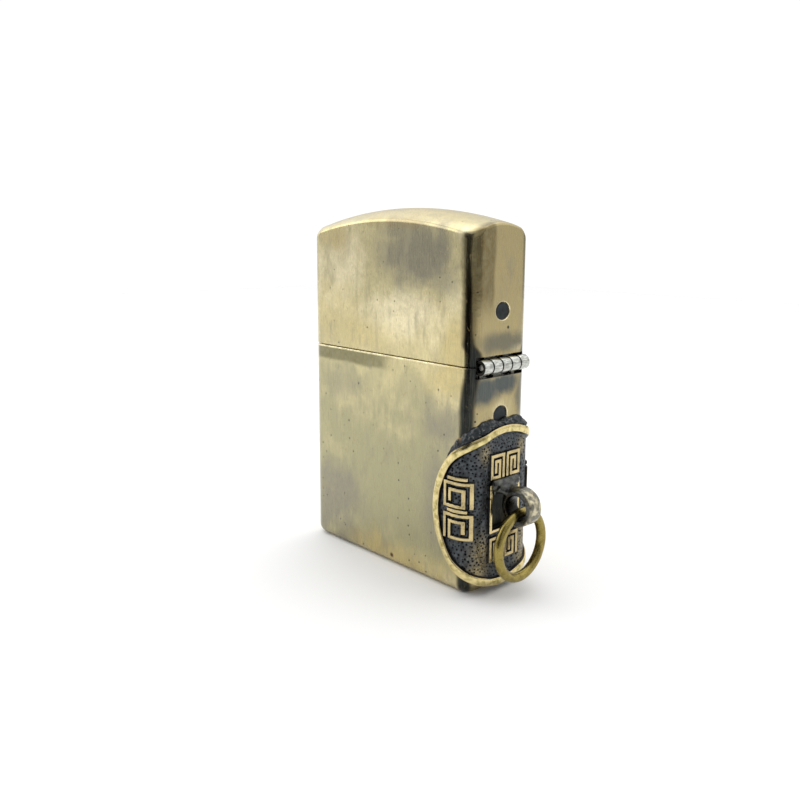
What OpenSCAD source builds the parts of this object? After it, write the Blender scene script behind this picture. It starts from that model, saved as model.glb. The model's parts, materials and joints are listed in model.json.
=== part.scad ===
// Pocket petrol lighter: brass case and hinged lid, a bent coin ornament with a
// hanging ring on the hinge side, and the removable insert inside.
// Millimetres. X runs across the width, with the hinge at +X; -Y is the front;
// Z is up, and z = 0 is the flat bottom of the case.

/* [Case and lid] */
// Width of the case
case_w = 38.1; // [38:0.1:39]
// Depth of the case, front to back
case_d = 13; // [13:0.1:13.4]
// Height of the line where the lid meets the case
parting_z = 34.9; // [34.5:0.1:35.5]
// Height of the highest point of the lid
lid_top_z = 58.1; // [57:0.1:59]
// Thickness of the sheet brass
wall = 0.8; // [0.6:0.05:0.8]
// Radius of the four upright edges
edge_r = 2.5; // [2.2:0.1:2.6]
// Radius of the edges round the bottom
bottom_r = 1.6; // [0.8:0.1:1.8]
// Radius of the lid's top from side to side
crown_side_r = 76; // [70:1:110]
// Radius of the lid's top from front to back
crown_front_r = 12; // [11:0.5:20]
// Gap between the lid and the case
parting_gap = 0.12; // [0.08:0.01:0.2]

/* [Hinge] */
// Outside diameter of the barrels
barrel_d = 2.3; // [2.1:0.05:2.4]
// Length of the five barrels together
hinge_w = 10.4; // [9.6:0.1:10.6]
// Distance of the hinge axis outside the case's side
hinge_out = 0.15; // [0.1:0.05:0.3]
// Diameter of the hinge pin
pin_d = 0.9; // [0.7:0.05:1]
// Gap between two barrels
barrel_gap = 0.08; // [0.06:0.01:0.12]
// Diameter of the rivet heads
rivet_d = 3.1; // [2.6:0.1:3.4]
// Height of the rivet in the case
case_rivet_z = 27.3; // [27:0.1:29]
// Height of the rivet in the lid
lid_rivet_z = 42.9; // [42:0.1:44]

/* [Ornament] */
// Diameter of the coin before it is bent
coin_d = 25; // [24:0.1:25.4]
// Height of the coin's centre
coin_z = 13.4; // [13.2:0.1:14]
// Height of the coin's field above the case
field_h = 0.95; // [0.8:0.05:1]
// Height of the coin's rim above the case
rim_h = 1.5; // [1.3:0.05:1.6]
// Width of the coin's rim
rim_w = 1.45; // [1.2:0.05:1.6]
// Width of the coin's hole
hole_w = 5.8; // [5.6:0.1:6]
// Height of the coin's hole
hole_h = 6.6; // [6.4:0.1:6.8]
// Width of the raised frame round the hole
frame_w = 0.6; // [0.4:0.05:0.7]
// Widest part of the solder above the coin
solder_w = 1.6; // [1:0.1:1.8]

/* [Bail and ring] */
// Radius of the bail's hole
bail_hole_r = 1.75; // [1.7:0.05:1.8]
// Thickness of metal round the bail's hole
bail_t = 1.1; // [1:0.05:1.15]
// Width of the bail
bail_w = 2.8; // [2.6:0.1:2.9]
// Distance of the bail's hole from the case's side
bail_out = 4.55; // [4.5:0.05:4.8]
// Height of the bail's hole
bail_z = 14; // [13.9:0.05:14.2]
// Radius of the ring, to the middle of the wire
ring_r = 5.05; // [4.9:0.05:5.3]
// Diameter of the ring's wire
ring_wire_d = 1.52; // [1.4:0.02:1.54]

/* [Insert] */
// Gap between the insert and the inside of the case
insert_gap = 0.3; // [0.25:0.05:0.4]
// Thickness of the insert's sheet steel
insert_wall = 0.5; // [0.4:0.05:0.6]
// Height of the insert's deck
deck_z = 37.2; // [37:0.1:37.4]
// Width of the chimney
chimney_w = 16.4; // [16:0.1:16.6]
// Depth of the chimney
chimney_d = 8; // [7.8:0.1:8.2]
// Height of the chimney's top
chimney_top_z = 52.2; // [51:0.1:52.5]
// Diameter of the vent holes
vent_d = 2.2; // [1.8:0.1:2.4]
// Diameter of the spark wheel
wheel_d = 7.4; // [7:0.1:7.4]
// Number of teeth on the spark wheel
wheel_teeth = 36; // [24:1:40]

/* [Hidden] */

$fn = 64;
over = 1;                 // how far a cutter runs past what it cuts
fit = 0.03;               // radial clearance of pins and screws in their bores
touch = 0.06;             // stand-off between bent pieces and the case

side_x = case_w / 2;
inner_x = side_x - wall;
flat_y = case_d / 2 - edge_r;
// how far the shape of the lid's top reaches down from its highest point
crown_depth = 25;

// hinge
hinge_x = side_x + hinge_out;
hinge_z = parting_z;
barrel_r = barrel_d / 2;
barrel_pitch = hinge_w / 5;
leaf_t = 0.4;
leaf_w = 2 * flat_y - 0.1;
leaf_reach = 10.4;
notch_w = hinge_w + 0.2;
notch_up = barrel_r + 0.35;
notch_down = barrel_r + 0.6;
rivet_shank_r = 1;
rivet_head_t = 0.22;
rivet_sunk = 0.1;

// coin
coin_r = coin_d / 2;
neutral_r = edge_r + field_h / 2;
arc_len = neutral_r * PI / 2;
coin_steps = 72;
field_steps = 8;
bevel = 0.18;
solder_from = 32;
solder_to = 148;
solder_steps = 32;

// bail and ring
bail_x = side_x + bail_out;
bail_r = bail_hole_r + bail_t;
bail_foot_w = 5.4;
bail_foot_top = coin_z + hole_h / 2 - 0.1;
bail_foot_h = 1.8;
bail_foot_out = 1.3;
bail_flare = 0.8;           // how far the wider mouth reaches into the bail's hole
saddle_r = 0.9;
saddle_w = 6;
ring_rest = 0.09;
ring_top_z = bail_z - bail_hole_r + ring_wire_d / 2 + ring_rest;
ring_split = 0.1;
ring_split_angle = 32;

// insert
insert_w = 2 * inner_x - 2 * leaf_t - 2 * (insert_gap + 0.05);
insert_d = case_d - 2 * wall - 2 * insert_gap;
insert_r = edge_r - wall - insert_gap;
insert_z = wall + 0.25;
deck_t = 0.6;
chimney_wall = 0.5;
chimney_r = 1.6;
ear_r = 2;
wheel_x = -12.2;
wheel_z = 45.4;
wheel_w = 6;
tooth_depth = 0.28;
wheel_pin_r = 0.8;
rivet_cap_t = 0.35;
cam_x = 11.2;
cam_z = 40.9;
cam_w = 5.2;
cam_hub_r = 1.7;
cam_nose_r = 1;
cam_nose_x = inner_x - leaf_t - 0.4 - cam_nose_r;
cam_nose_z = 39.6;
cam_pin_r = 0.7;
spring_t = 0.25;
spring_w = 3.6;

// flint column
tube_r = 2;
tube_bore_r = 1.5;
tube_bottom_z = 2.6;
tube_top_z = 41.2;
flint_r = 1.2;
flint_len = 5;
flint_top_z = wheel_z - wheel_d / 2 - 0.08;
plunger_len = 1.6;
screw_head_r = 2.8;
screw_head_z = 1.35;
screw_head_t = 1.05;
screw_top_z = 8;
coil_r = 1;
coil_wire_r = 0.2;
coil_turns = 16;
coil_steps = 14;
coil_sides = 6;

// wick and packing
wick_r = 1.25;
wick_bottom_z = 6;
wick_top_z = 48;
pad_t = 3;
packing_count = 4;
packing_gap = 0.25;

// ---------- shared shapes ----------

module rounded_rect(w, d, r) {
  square([w, d - 2 * r], center = true);
  square([w - 2 * r, d], center = true);
  for (x = [-1, 1], y = [-1, 1]) {
    translate([x * (w / 2 - r), y * (d / 2 - r)]) circle(r);
  }
}

// an upright outline with its two lower corners rounded
module footed_outline(w, h, r) {
  translate([-w / 2, r]) square([w, h - r]);
  translate([-w / 2 + r, 0]) square([w - 2 * r, h]);
  for (x = [-1, 1]) {
    translate([x * (w / 2 - r), r]) circle(r);
  }
}

// a round bar along X, from one x to another
module bar_x(from, to, z, r) {
  translate([from, 0, z]) rotate([0, 90, 0]) cylinder(h = to - from, r = r);
}

// a round bar along Y, centred on y = 0
module bar_y(x, z, r, length) {
  translate([x, 0, z]) rotate([90, 0, 0]) cylinder(h = length, r = r, center = true);
}

// an outline in X and Z, made solid along Y
module plate_xz(width) {
  rotate([90, 0, 0]) linear_extrude(width, center = true) children();
}

// ---------- case and lid ----------

module case_outside() {
  height = parting_z - parting_gap / 2;
  intersection() {
    linear_extrude(height) rounded_rect(case_w, case_d, edge_r);
    plate_xz(case_d + 2 * over) footed_outline(case_w, height + over, bottom_r);
    rotate([0, 0, 90]) plate_xz(case_w + 2 * over) footed_outline(case_d, height + over, bottom_r);
  }
}

// a wheel with a crowned rim, whose seam runs over the middle of the lid's top
module crown(inset) {
  side_r = crown_side_r - inset;
  front_r = crown_front_r - inset;
  width = case_d + 2 * over;
  translate([0, 0, lid_top_z - crown_side_r]) rotate([90, 0, 0]) rotate([0, 0, 90])
    rotate_extrude($fn = 360) {
      translate([side_r - crown_depth, -width / 2]) square([crown_depth - front_r, width]);
      intersection() {
        translate([side_r - front_r, 0]) circle(front_r, $fn = 180);
        translate([side_r - front_r, -width / 2]) square([front_r + over, width]);
      }
    }
}

module lid_solid(inset, from_z) {
  intersection() {
    translate([0, 0, from_z]) linear_extrude(lid_top_z - from_z + over)
      rounded_rect(case_w - 2 * inset, case_d - 2 * inset, edge_r - inset);
    crown(inset);
  }
}

// the hole and the shallow seat that take a rivet in the side wall
module rivet_seat(z) {
  bar_x(inner_x - over, side_x + over, z, rivet_shank_r + fit);
  bar_x(side_x - rivet_head_t - rivet_sunk, side_x + over, z, rivet_d / 2);
}

module case_body() {
  color("#a79a6c") difference() {
    case_outside();
    translate([0, 0, wall]) linear_extrude(parting_z + over)
      rounded_rect(case_w - 2 * wall, case_d - 2 * wall, edge_r - wall);
    translate([hinge_x, 0, hinge_z - notch_down + 2.5]) cube([6, notch_w, 5], center = true);
    rivet_seat(case_rivet_z);
  }
}

module lid() {
  color("#aa9d70") difference() {
    lid_solid(0, parting_z + parting_gap / 2);
    lid_solid(wall, parting_z - over);
    translate([hinge_x, 0, hinge_z + notch_up - 2.5]) cube([6, notch_w, 5], center = true);
    rivet_seat(lid_rivet_z);
  }
}

// ---------- hinge ----------

function barrel_y(i) = (i - 2) * barrel_pitch;

module barrels(which) {
  for (i = which) {
    translate([hinge_x, barrel_y(i), hinge_z]) rotate([90, 0, 0])
      cylinder(h = barrel_pitch - barrel_gap, r = barrel_r, center = true);
  }
}

// the strips that join the leaf to its barrels; they lie above or below the axis
module barrel_webs(which, up) {
  length = barrel_pitch - barrel_gap;
  intersection() {
    for (i = which) {
      translate([inner_x - leaf_t, barrel_y(i) - length / 2, hinge_z - (up ? 0 : 3)])
        cube([leaf_t, length, 3]);
    }
    translate([inner_x, 0, hinge_z]) cube([2, leaf_w, 8], center = true);
  }
}

module hinge_leaf(which, up, rivet_z) {
  reach = leaf_reach - (up ? notch_up : notch_down);
  from_z = up ? hinge_z + notch_up : hinge_z - leaf_reach;
  difference() {
    union() {
      translate([inner_x - leaf_t, -leaf_w / 2, from_z]) cube([leaf_t, leaf_w, reach]);
      barrel_webs(which, up);
      barrels(which);
    }
    bar_y(hinge_x, hinge_z, pin_d / 2 + fit, hinge_w + 2 * over);
    bar_x(inner_x - over, side_x, rivet_z, rivet_shank_r + fit);
  }
}

module hinge_leaf_case() { color("#c9cac6") hinge_leaf([0, 2, 4], false, case_rivet_z); }

module hinge_leaf_lid() { color("#d2d3cf") hinge_leaf([1, 3], true, lid_rivet_z); }

module hinge_pin() { color("#8f9090") bar_y(hinge_x, hinge_z, pin_d / 2, hinge_w - barrel_gap); }

module rivet(z) {
  head_x = side_x - rivet_head_t - rivet_sunk;
  bar_x(inner_x - leaf_t, head_x + rivet_head_t / 2, z, rivet_shank_r);
  bar_x(head_x, side_x - rivet_sunk, z, rivet_d / 2 - 0.05);
}

module case_rivet() { color("#3a3a36") rivet(case_rivet_z); }

module lid_rivet() { color("#3a3a36") rivet(lid_rivet_z); }

// ---------- coin ----------

// Bends a flat point round the hinge side: s runs round the case from the middle
// of its side, z is the height and h the distance outside the case's surface.
function bent(s, z, h) =
  let (a = abs(s), way = s < 0 ? -1 : 1, turn = (a - flat_y) / neutral_r * 180 / PI)
  a <= flat_y ? [side_x + h, s, z]
  : a <= flat_y + arc_len
    ? [side_x - edge_r + (edge_r + h) * cos(turn), way * (flat_y + (edge_r + h) * sin(turn)), z]
    : [side_x - edge_r - (a - flat_y - arc_len), way * (case_d / 2 + h), z];

// a point on a rectangle's edge in the direction of angle a; 45 degrees is a corner
function on_rect(a, half_w, half_h) =
  let (m = max(abs(cos(a)), abs(sin(a))))
  [half_w * cos(a) / m, half_h * sin(a) / m];

function on_circle(a, r) = [r * cos(a), r * sin(a)];

function hole_edge(a, out) = on_rect(a, hole_w / 2 + out, hole_h / 2 + out);

function mix(p, q, t) = p + (q - p) * t;

// the coin's section at angle a, as [flat point, height] pairs, once round
function coin_section(a) =
  let (
    foot = hole_edge(a, frame_w + bevel),
    rim_foot = on_circle(a, coin_r - rim_w),
    edge = on_circle(a, coin_r),
    inner = hole_edge(a, 0)
  )
  concat(
    [[inner, touch], [inner, rim_h - 0.1], [hole_edge(a, frame_w), rim_h - 0.1]],
    [for (k = [0:field_steps]) [mix(foot, rim_foot, k / field_steps), field_h]],
    [[on_circle(a, coin_r - rim_w + bevel), rim_h], [on_circle(a, coin_r - bevel), rim_h]],
    [[edge, rim_h - bevel], [edge, touch]],
    [for (k = [1:field_steps + 1]) [mix(edge, inner, k / (field_steps + 2)), touch]]
  );

function bend_all(section) = [for (p = section) bent(p[0][0], coin_z + p[0][1], p[1])];

// the two triangles of each cell between rows, where a row has m points
function grid_faces(m, rows, closed) = [
  for (i = [0:rows - (closed ? 1 : 2)], j = [0:m - 1])
    let (a = i * m + j, b = i * m + (j + 1) % m, c = ((i + 1) % rows) * m + j,
         d = ((i + 1) % rows) * m + (j + 1) % m)
      for (face = [[a, b, c], [b, d, c]]) face
];

module coin_plate() {
  rows = [for (i = [0:coin_steps - 1]) bend_all(coin_section(i * 360 / coin_steps))];
  color("#4c4c45") polyhedron(
    points = [for (row = rows, p = row) p],
    faces = grid_faces(len(rows[0]), coin_steps, true)
  );
}

function solder_section(a) =
  let (
    swell = sin(180 * (a - solder_from) / (solder_to - solder_from)),
    width = 0.3 + (solder_w - 0.3) * swell,
    height = 0.4 + 0.5 * swell,
    r = coin_r + 0.05
  )
  [
    [on_circle(a, r), touch],
    [on_circle(a, r), height],
    [on_circle(a, r + width * 0.4), height * 0.85],
    [on_circle(a, r + width * 0.8), height * 0.4],
    [on_circle(a, r + width), touch + 0.05],
    [on_circle(a, r + width), touch]
  ];

module solder_fillet() {
  turn = (solder_to - solder_from) / solder_steps;
  rows = [for (i = [0:solder_steps]) bend_all(solder_section(solder_from + i * turn))];
  m = len(rows[0]);
  last = solder_steps * m;
  color("#34342f") polyhedron(
    points = [for (row = rows, p = row) p],
    faces = concat(
      grid_faces(m, solder_steps + 1, false),
      [[for (j = [m - 1:-1:0]) j], [for (j = [0:m - 1]) last + j]]
    )
  );
}

// ---------- bail and ring ----------

// the bar across the top of the coin's hole, cut back where it lies on the hole's frame
module saddle() {
  difference() {
    bar_y(side_x + 1.1, bail_z + 3, saddle_r, saddle_w);
    translate([side_x - over, -saddle_w, bail_foot_top]) cube([over + rim_h - 0.05, 2 * saddle_w, 4]);
    for (way = [-1, 1]) {
      translate([side_x - over, way * (hole_w / 2 - 0.1 + 1) - 1, bail_z]) cube([over + rim_h - 0.05, 2, 6]);
    }
  }
}

module bail() {
  foot_z = bail_foot_top - bail_foot_h;
  color("#8d8770") difference() {
    union() {
      bar_y(bail_x, bail_z, bail_r, bail_w);
      translate([side_x, -bail_foot_w / 2, foot_z]) cube([bail_foot_out, bail_foot_w, bail_foot_h]);
      plate_xz(bail_w) polygon([
        [side_x + 0.4, foot_z + 0.3],
        [side_x + bail_foot_out, foot_z + 0.3],
        [bail_x - bail_hole_r * 0.7, bail_z + bail_hole_r * 0.5],
        [bail_x, bail_z],
        [bail_x, bail_z + bail_r],
        [side_x + bail_foot_out, bail_foot_top - 0.02],
        [side_x + 0.4, bail_foot_top - 0.02]
      ]);
      saddle();
    }
    bar_y(bail_x, bail_z, bail_hole_r, bail_w + 2 * over);
    for (way = [-1, 1]) {
      translate([bail_x, way * bail_w / 2, bail_z]) rotate([way * 90, 0, 0])
        cylinder(h = bail_flare, r1 = bail_hole_r + 0.35, r2 = bail_hole_r);
    }
  }
}

module jump_ring() {
  color("#a38a3c") translate([bail_x, 0, ring_top_z - ring_r]) difference() {
    rotate([0, 90, 0]) rotate_extrude($fn = 96) translate([ring_r, 0]) circle(ring_wire_d / 2, $fn = 32);
    rotate([-ring_split_angle, 0, 0]) translate([0, 0, ring_r]) cube([4, ring_split, 4], center = true);
  }
}

// ---------- insert ----------

module insert_shell() {
  color("#b5b6b4") difference() {
    translate([0, 0, insert_z]) linear_extrude(deck_z - insert_z) rounded_rect(insert_w, insert_d, insert_r);
    translate([0, 0, insert_z - over]) linear_extrude(deck_z - deck_t - insert_z + over)
      rounded_rect(insert_w - 2 * insert_wall, insert_d - 2 * insert_wall, insert_r - insert_wall);
    translate([wheel_x, 0, deck_z - 2]) cylinder(h = 4, r = tube_r + fit);
    translate([0, 0, deck_z - 2]) cylinder(h = 4, r = wick_r + 0.1);
  }
}

// two flat ears that carry a rivet at x, z
module ears(x, z, r, foot_x) {
  for (way = [-1, 1]) {
    translate([0, way * (chimney_d - chimney_wall) / 2, 0]) plate_xz(chimney_wall) union() {
      translate([x, z]) circle(r);
      polygon([
        [foot_x, deck_z],
        [x + (x < 0 ? -r : r), deck_z],
        [x + (x < 0 ? -r : r), z],
        [x, z + r],
        [foot_x, z + r]
      ]);
    }
  }
}

module chimney() {
  ear_x = chimney_w / 2 - chimney_r;
  rows = [3, 2, 3];
  color("#c2c3c1") difference() {
    union() {
      translate([0, 0, deck_z]) linear_extrude(chimney_top_z - deck_z) difference() {
        rounded_rect(chimney_w, chimney_d, chimney_r);
        rounded_rect(chimney_w - 2 * chimney_wall, chimney_d - 2 * chimney_wall, chimney_r - chimney_wall);
      }
      ears(wheel_x, wheel_z, ear_r, -ear_x);
      ears(cam_x, cam_z, ear_r, ear_x);
    }
    for (column = [0:2], i = [0:rows[column] - 1]) {
      vent_z = deck_z + 7.5 + (i - (rows[column] - 1) / 2) * 4.1;
      bar_y((column - 1) * 3.9, vent_z, vent_d / 2, chimney_d + 2 * over);
    }
    bar_y(wheel_x, wheel_z, wheel_pin_r + fit, chimney_d + 2 * over);
    bar_y(cam_x, cam_z, cam_pin_r + fit, chimney_d + 2 * over);
  }
}

module spark_wheel() {
  r = wheel_d / 2;
  color("#6d6e6d") difference() {
    translate([wheel_x, 0, wheel_z]) plate_xz(wheel_w) polygon([
      for (i = [0:2 * wheel_teeth - 1])
        on_circle(i * 180 / wheel_teeth, r - (i % 2) * tooth_depth)
    ]);
    bar_y(wheel_x, wheel_z, wheel_pin_r + fit, wheel_w + 2 * over);
  }
}

// an axle with a flat head outside each ear
module axle(x, z, r) {
  bar_y(x, z, r, chimney_d + rivet_cap_t);
  for (way = [-1, 1]) {
    translate([0, way * (chimney_d + rivet_cap_t) / 2, 0]) bar_y(x, z, r + 0.55, rivet_cap_t);
  }
}

module wheel_rivet() { color("#a9a9a6") axle(wheel_x, wheel_z, wheel_pin_r); }

module cam() {
  color("#9fa09e") difference() {
    union() {
      bar_y(cam_x, cam_z, cam_hub_r, cam_w);
      bar_y(cam_nose_x, cam_nose_z, cam_nose_r, cam_w);
      plate_xz(cam_w) polygon([
        [cam_x, cam_z + cam_hub_r - 0.05],
        [cam_x, cam_z - cam_hub_r + 0.05],
        [cam_nose_x, cam_nose_z - cam_nose_r + 0.4],
        [cam_nose_x, cam_nose_z + cam_nose_r - 0.03]
      ]);
    }
    bar_y(cam_x, cam_z, cam_pin_r + fit, cam_w + 2 * over);
  }
}

module cam_rivet() { color("#a9a9a6") axle(cam_x, cam_z, cam_pin_r); }

module cam_spring() {
  root_x = chimney_w / 2 + 0.4;
  bend_x = root_x + 2;
  tip_z = cam_nose_z - cam_nose_r - 0.1;
  color("#878886") plate_xz(spring_w) polygon([
    [root_x, deck_z],
    [bend_x, deck_z],
    [cam_nose_x, tip_z - spring_t],
    [cam_nose_x + 0.7, tip_z - spring_t - 0.15],
    [cam_nose_x + 0.7, tip_z - 0.15],
    [cam_nose_x, tip_z],
    [bend_x, deck_z + spring_t],
    [root_x, deck_z + spring_t]
  ]);
}

// ---------- flint column ----------

module flint_tube() {
  color("#b9ad83") translate([wheel_x, 0, tube_bottom_z]) difference() {
    cylinder(h = tube_top_z - tube_bottom_z, r = tube_r);
    translate([0, 0, -over]) cylinder(h = tube_top_z - tube_bottom_z + 2 * over, r = tube_bore_r);
  }
}

module flint() {
  color("#55534f") translate([wheel_x, 0, flint_top_z - flint_len]) cylinder(h = flint_len, r = flint_r);
}

module spring_plunger() {
  color("#b39b53") translate([wheel_x, 0, flint_top_z - flint_len - plunger_len])
    cylinder(h = plunger_len, r = tube_bore_r - 0.1);
}

// one ring of points round the spring's wire, at a fraction of its whole length
function coil_ring(t, from_z, to_z) =
  let (turn = 360 * coil_turns * t, z = from_z + (to_z - from_z) * t)
  [for (k = [0:coil_sides - 1])
    let (a = k * 360 / coil_sides, r = coil_r + coil_wire_r * cos(a))
    [wheel_x + r * cos(turn), r * sin(turn), z + coil_wire_r * sin(a)]];

module flint_spring() {
  from_z = screw_top_z + coil_wire_r + 0.05;
  to_z = flint_top_z - flint_len - plunger_len - coil_wire_r - 0.05;
  count = coil_turns * coil_steps;
  last = count * coil_sides;
  color("#9a9b99") polyhedron(
    points = [for (i = [0:count], p = coil_ring(i / count, from_z, to_z)) p],
    faces = concat(
      grid_faces(coil_sides, count + 1, false),
      [[for (k = [coil_sides - 1:-1:0]) k], [for (k = [0:coil_sides - 1]) last + k]]
    )
  );
}

module flint_screw() {
  color("#b08f4a") translate([wheel_x, 0, 0]) difference() {
    union() {
      translate([0, 0, screw_head_z]) cylinder(h = screw_head_t, r = screw_head_r);
      translate([0, 0, screw_head_z]) cylinder(h = screw_top_z - screw_head_z, r = tube_bore_r - fit);
    }
    translate([0, 0, screw_head_z]) cube([2 * screw_head_r + over, 0.8, 1], center = true);
  }
}

// ---------- wick, packing and felt ----------

module wick() {
  color("#e6e0cf") translate([0, 0, wick_bottom_z]) cylinder(h = wick_top_z - wick_bottom_z, r = wick_r);
}

module cotton_packing() {
  from_z = insert_z + pad_t + 0.6;
  to_z = deck_z - deck_t - 0.3;
  from_x = wheel_x + tube_r + 0.3;
  to_x = insert_w / 2 - insert_wall - 0.3;
  depth = insert_d - 2 * insert_wall - 0.6;
  step = (to_z - from_z) / packing_count;
  color("#efeee9") difference() {
    for (i = [0:packing_count - 1]) {
      translate([(from_x + to_x) / 2, 0, from_z + i * step]) linear_extrude(step - packing_gap)
        rounded_rect(to_x - from_x, depth, 2);
    }
    translate([0, 0, from_z - over]) cylinder(h = to_z - from_z + 2 * over, r = wick_r + 0.1);
  }
}

module felt_pad() {
  color("#d8d4c6") difference() {
    translate([0, 0, insert_z + 0.2]) linear_extrude(pad_t)
      rounded_rect(insert_w - 2 * insert_wall - 0.3, insert_d - 2 * insert_wall - 0.3, 0.8);
    translate([wheel_x, 0, 0]) cylinder(h = 10, r = screw_head_r + 0.3);
  }
}

case_body();
lid();
hinge_leaf_case();
hinge_leaf_lid();
hinge_pin();
case_rivet();
lid_rivet();
coin_plate();
solder_fillet();
bail();
jump_ring();
insert_shell();
chimney();
spark_wheel();
wheel_rivet();
cam();
cam_rivet();
cam_spring();
flint_tube();
flint();
spring_plunger();
flint_spring();
flint_screw();
wick();
cotton_packing();
felt_pad();
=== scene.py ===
"""Looks of the pocket lighter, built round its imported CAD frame.

Metres; +X is the hinge side, -Y the front, +Z up. Lengths are written in
millimetres times MM. Every piece rides on the CAD body that carries it.
"""
import json
import math

import bmesh
import bpy
import numpy as np
from mathutils import Matrix, Vector, kdtree, noise


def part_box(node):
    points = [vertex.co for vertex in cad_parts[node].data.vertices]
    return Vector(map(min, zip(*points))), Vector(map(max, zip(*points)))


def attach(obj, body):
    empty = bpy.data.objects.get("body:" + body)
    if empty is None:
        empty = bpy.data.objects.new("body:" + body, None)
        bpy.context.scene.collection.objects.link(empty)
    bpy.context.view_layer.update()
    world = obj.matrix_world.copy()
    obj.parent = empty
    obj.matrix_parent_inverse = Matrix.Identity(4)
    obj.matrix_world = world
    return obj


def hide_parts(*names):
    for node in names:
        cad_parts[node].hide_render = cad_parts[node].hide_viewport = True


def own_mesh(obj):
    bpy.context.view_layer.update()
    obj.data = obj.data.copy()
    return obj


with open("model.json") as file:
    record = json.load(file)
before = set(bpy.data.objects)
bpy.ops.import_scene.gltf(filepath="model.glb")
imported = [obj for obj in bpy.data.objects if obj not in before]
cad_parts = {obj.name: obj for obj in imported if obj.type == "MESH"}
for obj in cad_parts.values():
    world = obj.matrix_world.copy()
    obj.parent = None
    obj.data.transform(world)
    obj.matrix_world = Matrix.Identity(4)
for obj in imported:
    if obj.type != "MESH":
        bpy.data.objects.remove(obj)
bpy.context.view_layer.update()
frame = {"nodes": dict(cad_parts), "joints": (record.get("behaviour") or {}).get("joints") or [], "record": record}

MM = 0.001
rng = np.random.default_rng(20)

# ---------- sizes from the frame ----------

case_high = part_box("case_body")[1]
lid_low, lid_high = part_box("lid")
coin_low, coin_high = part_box("coin_plate")
joints = {joint["name"]: joint for joint in frame["joints"]}

HALF_W, HALF_D = case_high.x, case_high.y
CASE_TOP, LID_BOTTOM, LID_TOP = case_high.z, lid_low.z, lid_high.z
HINGE = Vector(joints["lid_hinge"]["pos_m"])
RING_PIVOT = Vector(joints["ring_swing"]["pos_m"])
WHEEL = Vector(joints["wheel_spin"]["pos_m"])
COIN_R = (coin_high.z - coin_low.z) / 2
COIN_Z = (coin_high.z + coin_low.z) / 2

# ---------- sizes that the frame's boxes don't give, or not by themselves ----------

WALL = 0.8 * MM
EDGE_R = 2.5 * MM
BOTTOM_R = 1.6 * MM
RIM_BEVEL = 0.12 * MM
TOP_EDGE_R = 0.4 * MM
TOP_CORNER_R = 1.1 * MM
CROWN_SIDE_R = 76 * MM
CROWN_FRONT_R = 12 * MM

BARRELS = 5
BARREL_R = 1.15 * MM
BARREL_PITCH = 2.08 * MM
BARREL_GAP = 0.14 * MM
BARREL_BORE_R = 0.48 * MM
NOTCH_HALF_W = 5.3 * MM
NOTCH_UP = 1.5 * MM
NOTCH_DOWN = 1.75 * MM
RIVET_R = 1.55 * MM
RIVET_OVAL = 0.86
RIVET_SUNK = 0.1 * MM
RIVET_HEAD = 0.22 * MM
RIVET_SHANK_R = 1.0 * MM
LEAF_T = 0.4 * MM
LEAF_HALF_W = 3.95 * MM
PIN_R = 0.45 * MM
SHELL_SHARP = 33

BAIL_HOLE_R = 1.75 * MM
BAIL_R = 2.85 * MM
BAIL_HALF_W = 1.4 * MM
WIRE_R = 0.76 * MM
ring_low, ring_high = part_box("jump_ring")
RING_R = (ring_high.z - ring_low.z) / 2 - WIRE_R
bail_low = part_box("bail")[0]
BAIL_Z = bail_low.z + BAIL_R


def rivet_z(node):
    """Height of a rivet's middle."""
    low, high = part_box(node)
    return (low.z + high.z) / 2


# ---------- meshes ----------


def new_object(name, verts, faces):
    """A mesh object from points and faces, in the CAD frame."""
    mesh = bpy.data.meshes.new(name)
    mesh.from_pydata([tuple(v) for v in verts], [], [tuple(f) for f in faces])
    obj = bpy.data.objects.new(name, mesh)
    bpy.context.scene.collection.objects.link(obj)
    return obj


def clean(obj, sharp=38, merge=0.0002 * MM):
    """Merges doubles, turns the faces outwards and shades smooth; edges over sharp degrees stay sharp."""
    work = bmesh.new()
    work.from_mesh(obj.data)
    bmesh.ops.remove_doubles(work, verts=work.verts, dist=merge)
    bmesh.ops.dissolve_degenerate(work, edges=work.edges, dist=merge)
    bmesh.ops.recalc_face_normals(work, faces=work.faces)
    for face in work.faces:
        face.smooth = True
    for edge in work.edges:
        edge.smooth = len(edge.link_faces) == 2 and edge.calc_face_angle(0) < math.radians(sharp)
    work.to_mesh(obj.data)
    work.free()
    return obj


def apply_modifiers(obj):
    """Puts the result of the modifiers into the mesh."""
    bpy.context.view_layer.update()
    evaluated = obj.evaluated_get(bpy.context.evaluated_depsgraph_get())
    mesh = bpy.data.meshes.new_from_object(evaluated)
    obj.modifiers.clear()
    obj.data = mesh
    return obj


def circle_steps(count):
    """Angles in even steps once round a circle."""
    return [2 * math.pi * k / count for k in range(count)]


def loft(rows, round_rows=False):
    """Points and quads of a surface through closed rows of points that all have the same count."""
    count = len(rows[0])
    verts = [point for row in rows for point in row]
    faces = []
    for i in range(len(rows) if round_rows else len(rows) - 1):
        a, b = i * count, (i + 1) % len(rows) * count
        for j in range(count):
            k = (j + 1) % count
            faces.append((a + j, a + k, b + k, b + j))
    return verts, faces


def capped(rows):
    """A loft through rows of points, closed by a flat face at each end."""
    verts, faces = loft(rows)
    first, last = tuple(range(len(rows[0]))), tuple(range(len(verts) - len(rows[0]), len(verts)))
    return verts, faces + [first, last[::-1]]


def join(name, parts):
    """One object out of several (points, faces) pairs."""
    verts, faces = [], []
    for part_verts, part_faces in parts:
        start = len(verts)
        verts += list(part_verts)
        faces += [tuple(start + i for i in face) for face in part_faces]
    return new_object(name, verts, faces)


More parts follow.
